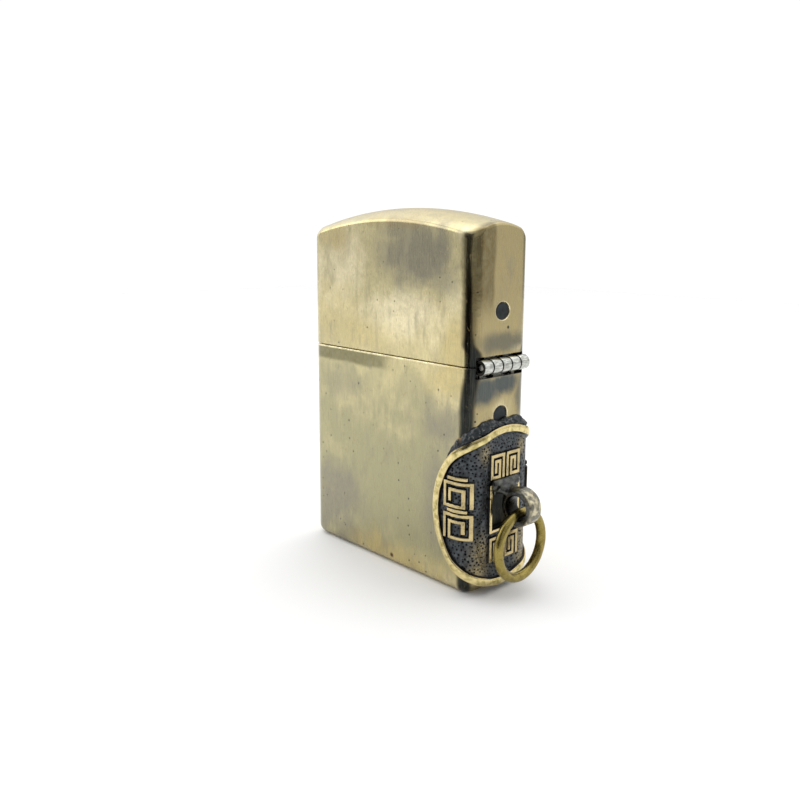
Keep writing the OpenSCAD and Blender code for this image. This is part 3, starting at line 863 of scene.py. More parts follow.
def skin(inset, rim_z, way, end, fillets, wall_rows=8, fillet_rows=7, end_rows=5, core_rows=8):
    """Rows of points from the open rim along the wall, round the fillet and over the closed end."""
    bevel = RIM_BEVEL if inset == 0 else -RIM_BEVEL
    rim = outline([inset + bevel] * len(PLAN_POINTS))
    wall = outline([inset] * len(PLAN_POINTS))
    rows = [[(x, y, rim_z) for x, y in rim]]
    from_z = rim_z + way * RIM_BEVEL
    ends = [end(x, y, inset) - way * f for (x, y), f in zip(wall, fillets)]
    for k in range(wall_rows + 1):
        t = k / wall_rows
        rows.append([(x, y, from_z + (to_z - from_z) * t) for (x, y), to_z in zip(wall, ends)])
    for k in range(1, fillet_rows + 1):
        a = math.pi / 2 * k / fillet_rows
        line = outline([inset + f * (1 - math.cos(a)) for f in fillets])
        drops = [way * f * (1 - math.sin(a)) for f in fillets]
        rows.append([(x, y, end(x, y, inset) - drop) for (x, y), drop in zip(line, drops)])
    for k in range(1, end_rows + 1):
        t = k / end_rows
        line = outline([(inset + f) * (1 - t) + EDGE_R * t for f in fillets])
        rows.append([(x, y, end(x, y, inset)) for x, y in line])
    for k in range(1, core_rows + 1):
        shrink = (HALF_D - EDGE_R) * k / core_rows
        fx, fy = 1 - shrink / (HALF_W - EDGE_R), 1 - shrink / (HALF_D - EDGE_R)
        rows.append([(x * fx, y * fy, end(x * fx, y * fy, inset)) for x, y in line])
    return rows


def cup(name, rim_z, way, end, fillets, inner_fillet):
    """The case or the lid: outer and inner skin, joined at the rim."""
    outer = skin(0, rim_z, way, end, fillets)
    inner = skin(WALL, rim_z, way, end, [inner_fillet] * len(fillets))
    return clean(new_object(name, *loft(outer[::-1] + inner)), merge=0.001 * MM)


def notch_cutter(low_z, high_z):
    """The block that makes room for the hinge's barrels."""
    return block((HALF_W - 2 * WALL, -NOTCH_HALF_W, low_z), (HALF_W + 2 * MM, NOTCH_HALF_W, high_z))


def oval(shape, z):
    """A rivet's points and faces pressed a little flatter in height."""
    verts, faces = shape
    return [(v[0], v[1], z + (v[2] - z) * RIVET_OVAL) for v in verts], faces


def rivet_cutter(z):
    """A round seat whose mouth is eased, so that a thin bright edge shows round the rivet."""
    seat = HALF_W - RIVET_SUNK - RIVET_HEAD
    depth = HALF_W - seat
    profile = [
        (0, 0), (RIVET_R, 0), (RIVET_R, depth - 0.12 * MM), (RIVET_R + 0.03 * MM, depth - 0.05 * MM),
        (RIVET_R + 0.12 * MM, depth + 0.01 * MM), (RIVET_R + 0.12 * MM, 2 * MM), (0, 2 * MM),
    ]
    return oval(turned(profile, (seat, 0, z), (1, 0, 0), 48), z)


def make_case():
    """The lower shell, with the hinge's notch and the rivet's seat."""
    case = cup("case", CASE_TOP, -1, floor, [BOTTOM_R] * len(PLAN_POINTS), 0.5 * MM)
    cut(case, notch_cutter(HINGE.z - NOTCH_DOWN, HINGE.z + 2 * MM), rivet_cutter(rivet_z("case_rivet")))
    clean(case, SHELL_SHARP)
    place_piece(even_normals(case), "case", "aged_brass", "case_body")


def make_lid():
    """The upper shell, whose fillet is small along its sides and larger at its corners."""
    fillets = [TOP_EDGE_R + (TOP_CORNER_R - TOP_EDGE_R) * c for c in PLAN_CORNERED]
    lid = cup("lid_cap", LID_BOTTOM, 1, crown, fillets, 0.4 * MM)
    cut(lid, notch_cutter(HINGE.z - 2 * MM, HINGE.z + NOTCH_UP), rivet_cutter(rivet_z("lid_rivet")))
    clean(lid, SHELL_SHARP)
    place_piece(even_normals(lid), "lid", "aged_brass", "lid")


# ---------- hinge and rivets ----------


def barrel_profile(half, i):
    """A barrel's wall; the two end barrels open out towards the hinge's ends."""
    ease, funnel, funnel_depth = 0.13 * MM, 0.27 * MM, 0.5 * MM
    low_r = BARREL_BORE_R + (funnel if i == 0 else 0)
    high_r = BARREL_BORE_R + (funnel if i == BARRELS - 1 else 0)
    return [
        (low_r, -half), (BARREL_R - ease, -half), (BARREL_R - ease * 0.3, -half + ease * 0.3),
        (BARREL_R, -half + ease), (BARREL_R, half - ease), (BARREL_R - ease * 0.3, half - ease * 0.3),
        (BARREL_R - ease, half), (high_r, half),
        (BARREL_BORE_R, half - funnel_depth), (BARREL_BORE_R, funnel_depth - half),
    ]


def make_leaf(name, node, body, which):
    """A hinge leaf with its barrels: the flat leaf, the strips and the rolled barrels."""
    low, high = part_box(node)
    inside = HALF_W - WALL
    up = high.z - HINGE.z > HINGE.z - low.z
    edge = HINGE.z + NOTCH_UP if up else HINGE.z - NOTCH_DOWN
    far = high.z if up else low.z
    parts = [block((inside - LEAF_T, -LEAF_HALF_W, min(edge, far)), (inside, LEAF_HALF_W, max(edge, far)))]
    half = (BARREL_PITCH - BARREL_GAP) / 2
    for i in which:
        y = (i - BARRELS // 2) * BARREL_PITCH
        parts.append(turned(barrel_profile(half, i), (HINGE.x, y, HINGE.z), (0, 1, 0), 56))
        parts.append(block(
            (inside - LEAF_T, max(y - half, -LEAF_HALF_W), min(edge, HINGE.z)),
            (inside, min(y + half, LEAF_HALF_W), max(edge, HINGE.z)),
        ))
    place_piece(even_normals(clean(join(name, parts))), body, "hinge_nickel", node)


def make_pin():
    """The hinge's pin, ending a little inside the outer barrels."""
    half = BARRELS / 2 * BARREL_PITCH - PIN_R
    shape = turned(disc_profile(PIN_R, -half, half, 0.1 * MM), HINGE, (0, 1, 0), 32)
    place_piece(even_normals(clean(new_object("hinge_wire", *shape))), "case", "pin_steel", "hinge_pin")


def make_rivet(name, node, body):
    """A sunk rivet: a flat head with a worn, slightly dished face, and its shank."""
    z = rivet_z(node)
    seat = HALF_W - RIVET_SUNK - RIVET_HEAD
    head_r = RIVET_R - 0.05 * MM
    inside = HALF_W - WALL - LEAF_T
    profile = [
        (0, inside - seat), (RIVET_SHANK_R, inside - seat), (RIVET_SHANK_R, 0), (head_r, 0),
        (head_r, RIVET_HEAD * 0.6), (head_r - 0.1 * MM, RIVET_HEAD * 0.9),
        (head_r - 0.25 * MM, RIVET_HEAD),
        (head_r * 0.7, RIVET_HEAD * 0.93), (head_r * 0.4, RIVET_HEAD * 0.86), (0, RIVET_HEAD * 0.83),
    ]
    rivet = new_object(name, *oval(turned(profile, (seat, 0, z), (1, 0, 0), 48), z))
    place_piece(even_normals(clean(rivet)), body, "dark_rivet", node)


# ---------- coin ----------

FLAT_Y = HALF_D - EDGE_R
FIELD_H = 0.95 * MM
RIM_H = 1.5 * MM
RIM_W = 1.25 * MM
FRAME_H = 1.4 * MM
FRAME_W = 0.5 * MM
HOLE_HALF_W = 2.9 * MM
HOLE_HALF_H = 3.3 * MM
RELIEF_H = 1.34 * MM
STAND_OFF = 0.06 * MM
NEUTRAL_R = EDGE_R + FIELD_H / 2
ARC = NEUTRAL_R * math.pi / 2


def bent(s, z, h):
    """Arrays of flat coin points bent round the case: s round it, z up, h outwards."""
    a, way = np.abs(s), np.where(s < 0, -1.0, 1.0)
    turn = np.clip((a - FLAT_Y) / NEUTRAL_R, 0, math.pi / 2)
    past = np.maximum(a - FLAT_Y - ARC, 0)
    flat = a <= FLAT_Y
    x = np.where(flat, HALF_W + h, HALF_W - EDGE_R + (EDGE_R + h) * np.cos(turn) - past)
    y = np.where(flat, s, way * (FLAT_Y + (EDGE_R + h) * np.sin(turn)))
    return np.stack([x, y, z], axis=-1)


def square_direction(angles):
    """Points of a unit square's edge in the direction of each angle."""
    c, s = np.cos(angles), np.sin(angles)
    m = np.maximum(np.abs(c), np.abs(s))
    return np.stack([c / m, s / m], axis=-1)


def smooth(value, low, high):
    """0 below low, 1 above high, and a soft step between them."""
    t = np.clip((value - low) / (high - low), 0, 1)
    return t * t * (3 - 2 * t)


def square_spiral(cx, cz, half_w, half_h, pitch, mirror):
    """The strokes of a square key spiral, from its outer end inwards."""
    points = [(-half_w, -half_h), (-half_w, half_h), (half_w, half_h), (half_w, -half_h)]
    left, low, right, high = -half_w + pitch, -half_h, half_w - pitch, half_h - pitch
    while right - left > pitch * 0.6 and high - low > pitch * 0.6:
        points += [(left, low), (left, high), (right, high), (right, low + pitch)]
        left, low, right, high = left + pitch, low + pitch, right - pitch, high - pitch
    placed = [(cx + mirror * x * MM, cz + z * MM) for x, z in points]
    return list(zip(placed, placed[1:]))


# half width, half height and pitch in millimetres of the spirals beside the hole, and of those over
# and under it
SIDE_SPIRAL = (1.95, 1.75, 0.98)
MIDDLE_SPIRAL = (1.3, 1.65, 0.86)


def relief_strokes():
    """Key-pattern strokes in the coin's four quarters, in flat coordinates from its centre."""
    strokes = []
    for side in (-1, 1):
        s = side * 8.05 * MM
        strokes += square_spiral(s, 2.55 * MM, *SIDE_SPIRAL, side)
        strokes += square_spiral(s, -2.35 * MM, *SIDE_SPIRAL, -side)
        for z in (5.05 * MM, 0.1 * MM):
            strokes.append(((s - 1.2 * MM, z), (s + 1.2 * MM, z)))
    for up in (-1, 1):
        for side in (-1, 1):
            strokes += square_spiral(side * 1.75 * MM, up * 6.45 * MM, *MIDDLE_SPIRAL, side * up)
    return strokes


def stroke_distance(points, strokes, half_width):
    """Distance of each point from the nearest stroke's edge; negative inside a stroke."""
    nearest = np.full(len(points), 1.0)
    for start, end in strokes:
        a, b = np.array(start), np.array(end)
        low, high = np.minimum(a, b) - half_width, np.maximum(a, b) + half_width
        off = np.maximum(np.maximum(low - points, points - high), 0)
        inside = np.minimum(np.minimum(points - low, high - points).min(axis=1), half_width)
        gap = np.where(off.max(axis=1) > 0, np.hypot(off[:, 0], off[:, 1]), -inside)
        nearest = np.minimum(nearest, gap)
    return nearest


def punch_marks(pitch=0.6 * MM):
    """Jittered centres of the punched dots on the field."""
    count = int(COIN_R / pitch) + 1
    marks = []
    for i in range(-count, count + 1):
        for j in range(-count, count + 1):
            shift = rng.uniform(-0.34, 0.34, 2)
            marks.append(((i + shift[0] + (j % 2) * 0.5) * pitch, (j + shift[1]) * pitch))
    return np.array(marks)


def lumps(points, scale, seed):
    """Slow noise at each flat point, between about -1 and 1."""
    return np.array([noise.noise(Vector((p[0] / scale, p[1] / scale, seed))) for p in points])


# rubbed patches of the field: distance round the coin, height, reach each way and strength
RUBBED = (
    (4.1 * MM, 8.6 * MM, 0.8 * MM, 1.3 * MM, 0.9),
    (4.6 * MM, -6.6 * MM, 1.3 * MM, 2.4 * MM, 1.0),
    (5.2 * MM, -9.6 * MM, 1.6 * MM, 0.9 * MM, 0.9),
)


def patch(points, across, up, reach_across, reach_up, strength):
    """A soft spot on each half of the coin."""
    a = (np.abs(points[:, 0]) - across) / reach_across
    return strength * np.exp(-(a ** 2 + ((points[:, 1] - up) / reach_up) ** 2))


def coin_height(points):
    """Height above the case of the flat points of the coin's face, how rubbed and how shaded they are."""
    r = np.hypot(points[:, 0], points[:, 1])
    box = np.maximum(np.abs(points[:, 0]) - HOLE_HALF_W, np.abs(points[:, 1]) - HOLE_HALF_H)
    slow = lumps(points, 1.6 * MM, 3.1)
    height = FIELD_H + 0.03 * MM * slow
    marks = punch_marks()
    tree = kdtree.KDTree(len(marks))
    for index, mark in enumerate(marks):
        tree.insert((mark[0], mark[1], 0), index)
    tree.balance()
    depth = 0.11 * MM + 0.06 * MM * rng.random(len(marks))
    radius = 0.12 * MM + 0.10 * MM * rng.random(len(marks))
    found = [tree.find((p[0], p[1], 0)) for p in points]
    which = np.array([f[1] for f in found])
    away = np.array([f[2] for f in found])
    height -= depth[which] * (1 - smooth(away, radius[which] * 0.35, radius[which]))
    strokes = stroke_distance(points, relief_strokes(), 0.29 * MM)
    drawn = 1 - smooth(strokes, -0.05 * MM, 0.06 * MM)
    height += (RELIEF_H + 0.03 * MM * slow - height) * drawn
    frame_part = 1 - smooth(np.abs(box - FRAME_W / 2), FRAME_W / 2 - 0.05 * MM, FRAME_W / 2 + 0.06 * MM)
    height += (FRAME_H - height) * frame_part
    rim_part = smooth(r + 0.08 * MM * slow, COIN_R - RIM_W - 0.05 * MM, COIN_R - RIM_W + 0.22 * MM)
    crowned = 0.14 * MM * ((r - (COIN_R - RIM_W / 2)) / (RIM_W / 2)) ** 2
    height += (RIM_H - np.minimum(crowned, 0.16 * MM) - height) * rim_part
    height = np.minimum(height, RIM_H - 0.002 * MM)
    # painted shade: sunk is darkness along the feet of the strokes, frame and rim
    edges = np.minimum(np.maximum(strokes, 0), np.abs(box - FRAME_W / 2) - FRAME_W / 2)
    edges = np.minimum(edges, COIN_R - RIM_W - r)
    sunk = np.exp(-np.maximum(edges, 0) / (0.22 * MM))
    wear_and_highlight = sum(patch(points, *place) for place in RUBBED)
    return height, np.clip(wear_and_highlight, 0, 1), sunk


def make_coin(spokes=720, face_rows=150, back_rows=12):
    """The bent coin: its face in fine rows from the hole to the edge, and a plain back."""
    angles = np.linspace(0, 2 * math.pi, spokes, endpoint=False)
    hole = square_direction(angles) * (HOLE_HALF_W, HOLE_HALF_H)
    edge = np.stack([np.cos(angles), np.sin(angles)], axis=-1) * (COIN_R - 0.001 * MM)
    face = [hole + (edge - hole) * k / face_rows for k in range(face_rows + 1)]
    flat = np.concatenate(face)
    height, wear_and_highlight, sunk = coin_height(flat)
    height = height.reshape(face_rows + 1, spokes)
    rows = [bent(row[:, 0], COIN_Z + row[:, 1], height[k]) for k, row in enumerate(face)]
    back = [edge + (hole - edge) * k / back_rows for k in range(back_rows + 1)]
    rows += [bent(row[:, 0], COIN_Z + row[:, 1], np.full(spokes, STAND_OFF)) for row in back]
    coin = new_object("bent_coin", *loft(rows, round_rows=True))
    base = FIELD_H - 0.25 * MM
    raised = (height.ravel() - base) / (RIM_H - base)
    for name, face_values in (("raised", raised), ("wear_and_highlight", wear_and_highlight), ("sunk", sunk)):
        values = np.zeros(len(rows) * spokes, dtype=np.float32)
        values[: flat.shape[0]] = face_values
        coin.data.attributes.new(name, "FLOAT", "POINT").data.foreach_set("value", values)
    clean(coin, sharp=60)
    place_piece(coin, "case", "coin_brass", "coin_plate")


def make_solder(steps=260, across=14):
    """The lumpy solder along the coin's upper edge."""
    start, stop = math.radians(26), math.radians(154)
    rows = []
    for i in range(steps + 1):
        a = start + (stop - start) * i / steps
        swell = math.sin(math.pi * i / steps) ** 0.7
        width = (0.2 + 1.45 * swell) * MM
        width *= 1 + 0.45 * noise.noise(Vector((a * 9, 7.0, 1.0)))
        width *= 1 - 0.62 * math.exp(-((math.degrees(a) - 90) / 13) ** 2)
        row, inner_r = [], COIN_R + 0.03 * MM
        for k in range(across + 1):
            t = k / across
            r = inner_r + width * t
            x, y = r * math.cos(a) / MM, r * math.sin(a) / MM
            blobs = abs(noise.noise(Vector((x * 0.8, y * 0.8, 2.0)))) * 1.6
            grain = noise.fractal(Vector((x * 2.6, y * 2.6, 5.0)), 1.0, 2.0, 4)
            fall = (1 - t ** 3) ** 0.7
            h = 0.1 + (0.3 + 0.45 * swell) * fall * (1 - 0.5 * t) + (0.3 * blobs + 0.16 * grain) * fall
            h = min(STAND_OFF + max(h, 0.02) * MM, RIM_H)
            row.append((r * math.cos(a), r * math.sin(a), h if k < across else STAND_OFF + 0.01 * MM))
        row += [(r * math.cos(a), r * math.sin(a), STAND_OFF) for r in (inner_r + width, inner_r)]
        flat = np.array(row)
        rows.append(bent(flat[:, 0], COIN_Z + flat[:, 1], flat[:, 2]))
    solder = clean(new_object("solder_seam", *capped(rows)), sharp=70)
    place_piece(solder, "case", "solder", "solder_fillet")


# ---------- bail and ring ----------

# how far the bail's hole widens: distance from its middle and the extra radius, in millimetres
BAIL_FLARE = ((0, 0), (0.6, 0.04), (1.0, 0.1), (1.4, 0.22), (3.0, 0.22))
# oval sections of the bail's neck: x, middle height, half height and half width, in millimetres
BAIL_NECK = (
    (19.9, 16.5, 1.0, 2.7), (20.5, 16.5, 1.0, 2.5), (21.1, 16.3, 0.95, 2.0), (21.7, 16.05, 0.92, 1.5),
    (22.4, 15.85, 0.95, 1.3), (23.6, 15.8, 1.0, 1.1),
)


# the foot's block and the bar at its top: half widths, and heights above the middle of the bail's hole
FOOT_HALF_W = 2.6 * MM
FOOT_LOW, FOOT_HIGH = 1.5 * MM, 2.9 * MM
SADDLE_R = 0.9 * MM
SADDLE_HALF_W = 3.0 * MM
SADDLE_UP = 3.0 * MM


def swept(sections, around=32):
    """A closed solid through oval sections that stand across X, in millimetres."""
    return capped([
        [(x * MM, half_w * MM * math.cos(a), (z + half_h * math.sin(a)) * MM) for a in circle_steps(around)]
        for x, z, half_h, half_w in sections
    ])


def make_bail():
    """A cast loop whose neck spreads into a foot and a bar in the coin's hole, worn soft all over."""
    x, z = RING_PIVOT.x, BAIL_Z
    foot = bail_low.x
    saddle = disc_profile(SADDLE_R, -SADDLE_HALF_W, SADDLE_HALF_W, 0.5 * MM)
    parts = [
        turned(tube_profile(0, BAIL_R, -BAIL_HALF_W, BAIL_HALF_W, 0.35 * MM), (x, 0, z), (0, 1, 0), 64),
        swept(BAIL_NECK),
        block((foot + 0.02 * MM, -FOOT_HALF_W, z + FOOT_LOW), (foot + 1.5 * MM, FOOT_HALF_W, z + FOOT_HIGH)),
        turned(saddle, (foot + 1.1 * MM, 0, z + SADDLE_UP), (0, 1, 0), 32),
    ]
    bail = melt(clean(join("bail_loop", parts)), 0.09 * MM, 22)
    half_hole = [(BAIL_HOLE_R + extra * MM, t * MM) for t, extra in BAIL_FLARE]
    hole = [(r, -t) for r, t in half_hole[:0:-1]] + half_hole
    cut(bail, turned([(0, -hole[-1][1])] + hole + [(0, hole[-1][1])], (x, 0, z), (0, 1, 0), 64))
    for vertex in bail.data.vertices:
        dent = noise.fractal(vertex.co * 900, 1.0, 2.0, 3) * 0.03 * MM
        outwards = vertex.co - Vector((x, vertex.co.y, z))
        if outwards.length > BAIL_HOLE_R + 0.6 * MM and vertex.co.x > foot + 0.5 * MM:
            vertex.co -= outwards.normalized() * abs(dent)
    place_piece(clean(bail, sharp=50), "case", "bail_metal", "bail")


def make_ring(around=224, section=28):
    """A jump ring of slightly uneven wire, with its cut near the top at the back."""
    split_angle, split_half = math.radians(32), 0.0085
    centre = Vector((RING_PIVOT.x, 0, RING_PIVOT.z - RING_R))
    rows = []
    for i in range(around + 1):
        a = split_angle + split_half + (2 * math.pi - 2 * split_half) * i / around
        out = Vector((0, math.sin(a), math.cos(a)))
        wobble = 1 - 0.018 * (1 + noise.noise(Vector((a * 2.5, 4.0, 1.0))))
        row = []
        for b in circle_steps(section):
            dent = 1 - 0.02 * abs(noise.noise(Vector((a * 9, math.cos(b) * 1.5, math.sin(b) * 1.5))))
            r = WIRE_R * wobble * dent
            row.append(centre + out * (RING_R + r * math.cos(b)) + Vector((r * math.sin(b), 0, 0)))
        rows.append(row)
    ring = clean(new_object("hanging_ring", *capped(rows)), sharp=60)
    place_piece(ring, "ring", "ring_brass", "jump_ring")


# ---------- insert and chimney ----------

insert_low, insert_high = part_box("insert_shell")
chimney_low, chimney_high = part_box("chimney")
tube_low, tube_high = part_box("flint_tube")
wick_low, wick_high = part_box("wick")
wheel_low, wheel_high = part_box("spark_wheel")
cam_low, cam_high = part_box("cam")
CAM = Vector(joints["cam_pivot"]["pos_m"])
INSERT_R = 1.4 * MM
INSERT_WALL = 0.5 * MM
SHEET_EASE = 0.07 * MM
DECK_T = 0.6 * MM
CHIMNEY_HALF_W = 8.2 * MM
CHIMNEY_HALF_D = 4.0 * MM
CHIMNEY_R = 1.6 * MM
VENT_R = 1.1 * MM
VENT_PITCH = (3.9 * MM, 4.1 * MM)
VENT_ROWS = (3, 2, 3)
VENT_Z = 7.5 * MM
EAR_R = 2 * MM
TUBE_R = tube_high.x - WHEEL.x
TUBE_BORE_R = 1.5 * MM
WICK_R = wick_high.x
FIT = 0.03 * MM
WHEEL_PIN_R = 0.8 * MM
CAM_PIN_R = 0.7 * MM
CAM_HUB_R = 1.7 * MM
CAM_NOSE_R = 1.0 * MM
CAM_NOSE_Z = 39.6 * MM
FELT_HOLE_R = 3.1 * MM


def rounded_loop(half_w, half_d, r, inset, z, corner_steps=10):
    """A rounded rectangle's points at height z, moved inwards by inset."""
    r = max(r - inset, 0.02 * MM)
    x, y = half_w - inset - r, max(half_d - inset - r, 0)
    points = []
    for cx, cy, start in ((x, y, 0), (-x, y, 90), (-x, -y, 180), (x, -y, 270)):
        for k in range(corner_steps + 1):
            a = math.radians(start + 90 * k / corner_steps)
            points.append((cx + r * math.cos(a), cy + r * math.sin(a), z))
    return points


def looped(half_w, half_d, r, profile, middle=0.0):
    """A solid through rounded rectangles; profile is a closed list of (inset, z)."""
    loops = [rounded_loop(half_w, half_d, r, inset, z) for inset, z in profile]
    rows = [[(x + middle, y, z) for x, y, z in points] for points in loops]
    return loft(rows, round_rows=True)


def bar_y(x, z, r):
    """A plain round bar right through the insert from front to back, for cutting holes."""
    half = 6 * MM
    return turned([(0, -half), (r, -half), (r, half), (0, half)], (x, 0, z), (0, 1, 0), 40)


def bar_z(x, r, low, high):
    """A plain upright round bar, for cutting holes."""
    return turned([(0, low), (r, low), (r, high), (0, high)], (x, 0, 0), (0, 0, 1), 40)


def make_insert():
    """The drawn steel shell with its deck, open at the bottom, with holes for the tube and the wick."""
    half_w, half_d = insert_high.x, insert_high.y
    low, top = insert_low.z, insert_high.z
    ease = 0.45 * MM
    profile = [(0, low), (0, top - ease)]
    for k in range(1, 6):
        a = math.pi / 2 * k / 5
        profile.append((ease * (1 - math.cos(a)), top - ease * (1 - math.sin(a))))
    profile += [(t, top) for t in (1.4 * MM, 3 * MM, half_d - 0.01 * MM)]
    profile += [(t, top - DECK_T) for t in (half_d - 0.01 * MM, 3 * MM, INSERT_WALL + 0.2 * MM)]
    profile += [(INSERT_WALL, top - DECK_T - 0.2 * MM), (INSERT_WALL, low)]
    shell = clean(new_object("insert_case", *looped(half_w, half_d, INSERT_R, profile)))
    cut(
        shell, bar_z(WHEEL.x, TUBE_R + FIT, top - 2 * MM, top + 2 * MM),
        bar_z(0, WICK_R + 0.1 * MM, top - 2 * MM, top + 2 * MM),
    )
    place_piece(even_normals(clean(shell)), "case", "insert_steel", "insert_shell")


def ear(x, z, way):
    """One flat ear of the chimney, rounded above its rivet."""
    foot = math.copysign(CHIMNEY_HALF_W - CHIMNEY_R, x)
    shape = [(foot, chimney_low.z), (x + math.copysign(EAR_R, x), chimney_low.z)]
    for k in range(13):
        a = math.radians(90 * k / 12)
        shape.append((x + math.copysign(EAR_R * math.cos(a), x), z + EAR_R * math.sin(a)))
    shape.append((foot, z + EAR_R))
    outer = way * CHIMNEY_HALF_D
    return plate(shape, min(outer, outer - way * INSERT_WALL), max(outer, outer - way * INSERT_WALL))


def make_chimney():
    """The wind guard: a thin drawn box without a lid, its vents, and two pairs of ears."""
    low, top = chimney_low.z, chimney_high.z
    ease = 0.12 * MM
    profile = [
        (0, low), (0, top - ease), (ease * 0.3, top - ease * 0.3),
        (ease, top), (INSERT_WALL - ease, top),
        (INSERT_WALL - ease * 0.3, top - ease * 0.3), (INSERT_WALL, top - ease), (INSERT_WALL, low),
    ]
    guard = clean(new_object("wind_guard", *looped(CHIMNEY_HALF_W, CHIMNEY_HALF_D, CHIMNEY_R, profile)))
    vents = []
    for column, rows in enumerate(VENT_ROWS):
        for i in range(rows):
            z = low + VENT_Z + (i - (rows - 1) / 2) * VENT_PITCH[1]
            vents.append(bar_y((column - 1) * VENT_PITCH[0], z, VENT_R))
    cut(guard, *vents)
    soften(guard, SHEET_EASE)
    for index, (x, z, pin) in enumerate(((WHEEL.x, WHEEL.z, WHEEL_PIN_R), (CAM.x, CAM.z, CAM_PIN_R))):
        ears = clean(join(f"guard_ears_{index + 1}", [ear(x, z, way) for way in (-1, 1)]))
        cut(ears, bar_y(x, z, pin + FIT))
        soften(ears, SHEET_EASE)
        place_piece(even_normals(clean(ears)), "case", "chimney_steel", "chimney")
    place_piece(even_normals(clean(guard)), "case", "chimney_steel", "chimney")


# ---------- wheel, cam and their parts ----------


def make_wheel(teeth=36, steps=14):
    """The toothed wheel: slanted teeth that meet in the middle, eased ends and a recessed hub."""
    half, r, depth = wheel_high.y, (wheel_high.z - wheel_low.z) / 2, 0.28 * MM
    flank = (0, 0.55, 1, 0.4)
    turns = circle_steps(teeth * len(flank))

    def circle(radius, y):
        return [(WHEEL.x + radius * math.cos(a), y, WHEEL.z + radius * math.sin(a)) for a in turns]

    recess = ((2.3 * MM, half), (2.1 * MM, half - 0.3 * MM), (WHEEL_PIN_R + FIT, half - 0.3 * MM))
    rows = [circle(radius, -y) for radius, y in recess[::-1]]
    for k in range(steps + 1):
        t = k / steps * 2 - 1
        eased = 0.22 * MM * max(0, abs(t) - 0.86) / 0.14
        slant = math.radians(9) * (1 - abs(t))
        row = []
        for index, a in enumerate(turns):
            radius = r - 0.01 * MM - eased - depth * (1 - flank[index % len(flank)])
            x, z = radius * math.cos(a + slant), radius * math.sin(a + slant)
            row.append((WHEEL.x + x, t * half, WHEEL.z + z))
        rows.append(row)
    rows += [circle(radius, y) for radius, y in recess]
    wheel = clean(new_object("toothed_wheel", *loft(rows, round_rows=True)), sharp=30)
    place_piece(wheel, "wheel", "wheel_steel", "spark_wheel")


def make_axle(name, node, centre, r):
    """A rivet with a domed head outside each ear."""
    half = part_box(node)[1].y
    head = CHIMNEY_HALF_D
    dome = half - head
    profile = [(0, -half), (r * 0.8, -half + dome * 0.1), (r + 0.4 * MM, -half + dome * 0.5)]
    profile += [(r + 0.55 * MM, -head), (r, -head)]
    profile += [(radius, -t) for radius, t in profile[::-1]]
    axle = clean(new_object(name, *turned(profile, centre, (0, 1, 0), 40)), sharp=50)
    place_piece(even_normals(axle), "case", "insert_steel", node)


def make_cam():
    """The small bent lever: a hub and a nose in one rounded outline."""
    nose = Vector((cam_high.x - CAM_NOSE_R, 0, CAM_NOSE_Z))
    rounds = ((CAM, CAM_HUB_R), (nose, CAM_NOSE_R))
    shape = []
    for a in circle_steps(72):
        way = Vector((math.cos(a), 0, math.sin(a)))
        centre, r = max(rounds, key=lambda item: item[0].dot(way) + item[1])
        shape.append((centre.x + r * way.x, centre.z + r * way.z))
    lever = clean(new_object("lever", *plate(shape, cam_low.y, cam_high.y)))
    soften(lever, 0.12 * MM)
    cut(lever, bar_y(CAM.x, CAM.z, CAM_PIN_R + FIT))
    place_piece(even_normals(clean(lever)), "cam", "insert_steel", "cam")


def make_cam_spring():
    """The flat spring between the deck and the lever's nose."""
    deck, t = insert_high.z, 0.25 * MM
    low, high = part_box("cam_spring")
    nose_x = cam_high.x - CAM_NOSE_R
    tip_z = high.z - t - 0.15 * MM
    line = [(low.x, deck), (low.x + 1.5 * MM, deck), (low.x + 2.2 * MM, deck + 0.1 * MM)]
    line += [(nose_x - 0.6 * MM, tip_z), (nose_x, high.z - t), (nose_x + 0.7 * MM, tip_z)]
    shape = line + [(x, z + t) for x, z in line[::-1]]
    spring = clean(new_object("flat_spring", *plate(shape, low.y, high.y)), sharp=25)
    place_piece(spring, "case", "spring_steel", "cam_spring")
    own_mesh(spring)


# ---------- flint column ----------


def column_part(name, profile, segments, body, slot, node, *cutters):
    """A turned part of the flint column."""
    part = clean(new_object(name, *turned(profile, (WHEEL.x, 0, 0), (0, 0, 1), segments)))
    if cutters:
        clean(cut(part, *cutters))
    place_piece(even_normals(part), body, slot, node)


